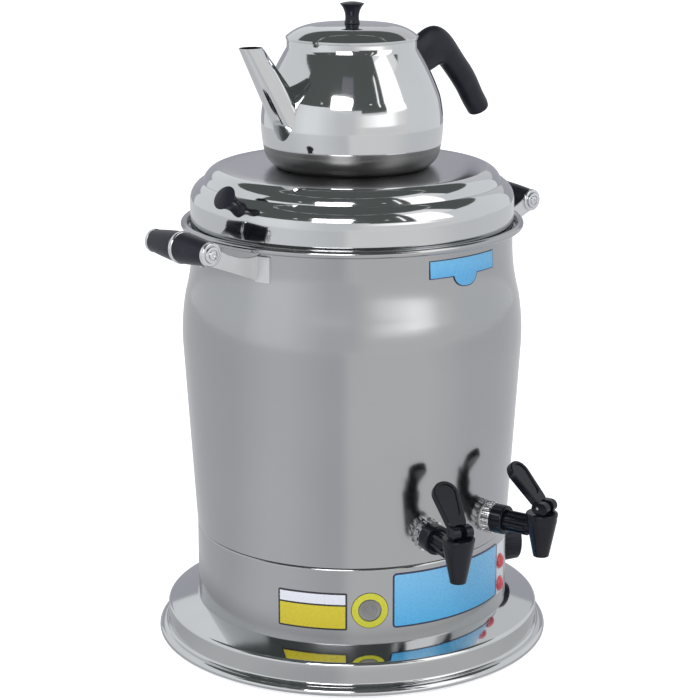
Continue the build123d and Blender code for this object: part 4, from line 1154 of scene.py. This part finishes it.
def in_view(tree):
    """Socket that is 1 for what is seen, straight or in polish or glass, and 0 for light."""
    path = add_node(tree, "ShaderNodeLightPath").outputs
    rays = {0: path["Is Camera Ray"], 1: path["Is Glossy Ray"]}
    seen = add_node(tree, "ShaderNodeMath", rays, operation="ADD")
    rays = {0: seen.outputs[0], 1: path["Is Transmission Ray"]}
    return add_node(tree, "ShaderNodeMath", rays, operation="ADD", use_clamp=True).outputs[0]


def panel(name, angles, heights, material, distance=stage_radius, columns=12, rows=8):
    """Part of a dome round the object, between angles from the camera's side and elevations."""
    form = bmesh.new()
    lines = []
    for i in range(columns + 1):
        a = radians(camera_turn + angles[0] + (angles[1] - angles[0]) * i / columns)
        line = []
        for j in range(rows + 1):
            e = radians(heights[0] + (heights[1] - heights[0]) * j / rows)
            spoke = Vector((sin(a) * cos(e), -cos(a) * cos(e), sin(e)))
            line.append(form.verts.new(spoke * distance + Vector((0, 0, stage_height))))
        lines.append(line)
    strips(form, lines)
    card(name, form, material)


def rim(elevation, distance):
    """Radius, level and share of light of a ring of the dome."""
    e = radians(elevation)
    return distance * cos(e), stage_height + distance * sin(e), 1.0


def light_at(angle, stops):
    """Colour of a graded ring at an angle, run evenly between the stops on either side."""
    for (low, before), (high, after) in zip(stops, stops[1:]):
        if low <= angle <= high:
            share = (angle - low) / (high - low)
            return (*(b + (a - b) * share for b, a in zip(before, after)), 1)


def graded(name, rims, stops):
    """Part of the studio between rims whose light runs softly from angle to angle."""
    form = bmesh.new()
    tint = form.verts.layers.float_color.new("tint")
    lines = []
    for angle in range(stops[0][0], stops[-1][0] + 1):
        a = radians(camera_turn + angle)
        light = light_at(angle, stops)
        line = []
        for r, level, share in rims:
            corner = form.verts.new((r * sin(a), -r * cos(a), level))
            corner[tint] = [part * share for part in light]
            line.append(corner)
        lines.append(line)
    strips(form, lines)
    material = glow(f"{name}_glow", (1, 1, 1))
    tree = material.node_tree
    source = add_node(tree, "ShaderNodeAttribute", attribute_name="tint")
    tree.links.new(source.outputs["Color"], tree.nodes["Emission"].inputs["Color"])
    card(name, form, material)


room = glow("room_glow", (0.105, 0.115, 0.112))
doorway = glow("doorway_glow", (0.20, 0.20, 0.225))
white_screen = glow("white_screen_glow", (1.0, 1.0, 1.0), strength=1.7)
side_cloth = glow("side_cloth_glow", (0.80, 0.82, 0.84))
back_cloth = glow("back_cloth_glow", (0.42, 0.425, 0.47))
dim = (0.66, 0.67, 0.69)
shade = (0.70, 0.71, 0.73)
low_shade = (0.71, 0.72, 0.74)
glare = (0.78, 0.79, 0.81)
bright = (0.82, 0.82, 0.82)
side_glare = (0.84, 0.86, 0.88)
room_glare = (0.95, 0.965, 0.98)
far_cloth = glow("far_cloth_glow", dim)
foot_gap = 0.02
screen_gap = 0.05
lamp_gap = 0.1
foot_distance = stage_radius + foot_gap
screen_distance = stage_radius - screen_gap
lamp_distance = stage_radius - lamp_gap
foot_elevations = (-7, 0, 7, 14, 22)
foot_stops = (
    (-74, side_glare),
    (-60, room_glare),
    (-45, room_glare),
    (-16, low_shade),
    (0, low_shade),
    (10, bright),
    (74, bright),
)
screen_elevations = (0.5, 6, 12)
screen_stops = (
    (4, (0.76, 0.77, 0.78)),
    (10, (0.88, 0.88, 0.88)),
    (17, (1.12, 1.12, 1.12)),
    (42, (1.7, 1.7, 1.7)),
    (51, (1.5, 1.5, 1.5)),
    (60, (0.98, 0.98, 0.98)),
    (74, bright),
)
table_level = 0.0005
table_shares = ((0.204, 0.68), (0.26, 0.68), (0.33, 1.0), (3.62, 1.0))
table_stops = (
    (-180, dim),
    (-82, dim),
    (-54, glare),
    (-40, glare),
    (-14, dim),
    (-7, dim),
    (-1, bright),
    (46, bright),
    (78, shade),
    (180, shade),
)
panel("room_left", (-74, -12), (20, 60), room)
panel("room_middle", (-12, 12), (17, 60), room)
panel("room_right", (12, 45), (14, 60), room)
panel("screen", (45, 74), (11, 50), white_screen)
graded("room_foot", [rim(e, foot_distance) for e in foot_elevations], foot_stops)
graded("screen_low", [rim(e, screen_distance) for e in screen_elevations], screen_stops)
panel("doorway", (-16, 2), (26, 46), doorway, lamp_distance)
panel("tube_light", (36, 38), (20, 44), white_screen, lamp_distance)
panel("lamp_-43", (-43, -40.5), (28, 30), white_screen, lamp_distance)
panel("lamp_24", (24, 26.5), (28, 30), white_screen, lamp_distance)
panel("ceiling", (-180, 180), (60, 90), room)
panel("room_back", (90, 286), (38, 60), room)
panel("side_cloth_left", (215, 286), (-7, 38), side_cloth)
panel("side_cloth_right", (74, 145), (-7, 38), side_cloth)
panel("back_cloth", (145, 215), (-7, 14), back_cloth)
panel("back_left", (180, 215), (14, 38), side_cloth)
panel("back_right", (145, 180), (14, 38), far_cloth)
graded("table", [(r, table_level, share) for r, share in table_shares], table_stops)

floor_form = bmesh.new()
bmesh.ops.create_grid(floor_form, size=floor_size / 2)
floor = linked("floor", floor_form)
floor_material = bpy.data.materials.new("pale_table")
floor_material.use_nodes = True
floor_tree = floor_material.node_tree
floor_light = {0: in_view(floor_tree), 1: floor_strength}
floor_glow = add_node(floor_tree, "ShaderNodeMath", floor_light, operation="MULTIPLY")
floor_looks = {
    "Base Color": (0.86, 0.86, 0.87, 1),
    "Roughness": 0.9,
    "Emission Color": (0.98, 0.98, 1.0, 1),
    "Emission Strength": floor_glow.outputs[0],
}
feed(floor_tree, floor_tree.nodes["Principled BSDF"], floor_looks)
floor.data.materials.append(floor_material)

world = bpy.data.worlds.new("studio")
bpy.context.scene.world = world
world.use_nodes = True
air = world.node_tree
air.nodes.clear()
white = add_node(air, "ShaderNodeBackground", {"Color": (0.985, 0.985, 1.0, 1), "Strength": 1.0})
fill = add_node(air, "ShaderNodeBackground", {"Color": (0.97, 0.98, 1.0, 1), "Strength": 0.75})
skies = {0: in_view(air), 1: fill.outputs[0], 2: white.outputs[0]}
mixed = add_node(air, "ShaderNodeMixShader", skies)
add_node(air, "ShaderNodeOutputWorld", {0: mixed.outputs[0]})

key_place = Vector((-2.23, -1.56, 1.84))
key_aim = Vector((0, 0, 0.4))
key = bpy.data.lights.new("key", "AREA")
key.shape = "RECTANGLE"
key.size = 1.35
key.size_y = 0.95
key.energy = 30.0
key_light = bpy.data.objects.new("key", key)
key_light.location = key_place
key_light.rotation_euler = (key_aim - key_place).to_track_quat("-Z", "Y").to_euler()
bpy.context.scene.collection.objects.link(key_light)

camera_reach = 2.100
camera_height = 0.842
camera_pitch = 14.57
view = bpy.data.cameras.new("view")
view.lens = 109.4
view.shift_x = -0.003
view.clip_end = 200.0
camera = bpy.data.objects.new("view", view)
camera.location = (
    camera_reach * sin(radians(camera_turn)),
    -camera_reach * cos(radians(camera_turn)),
    camera_height,
)
camera.rotation_euler = (radians(90 - camera_pitch), 0, radians(camera_turn))
bpy.context.scene.collection.objects.link(camera)
bpy.context.scene.camera = camera
bpy.context.scene.view_settings.view_transform = "Standard"
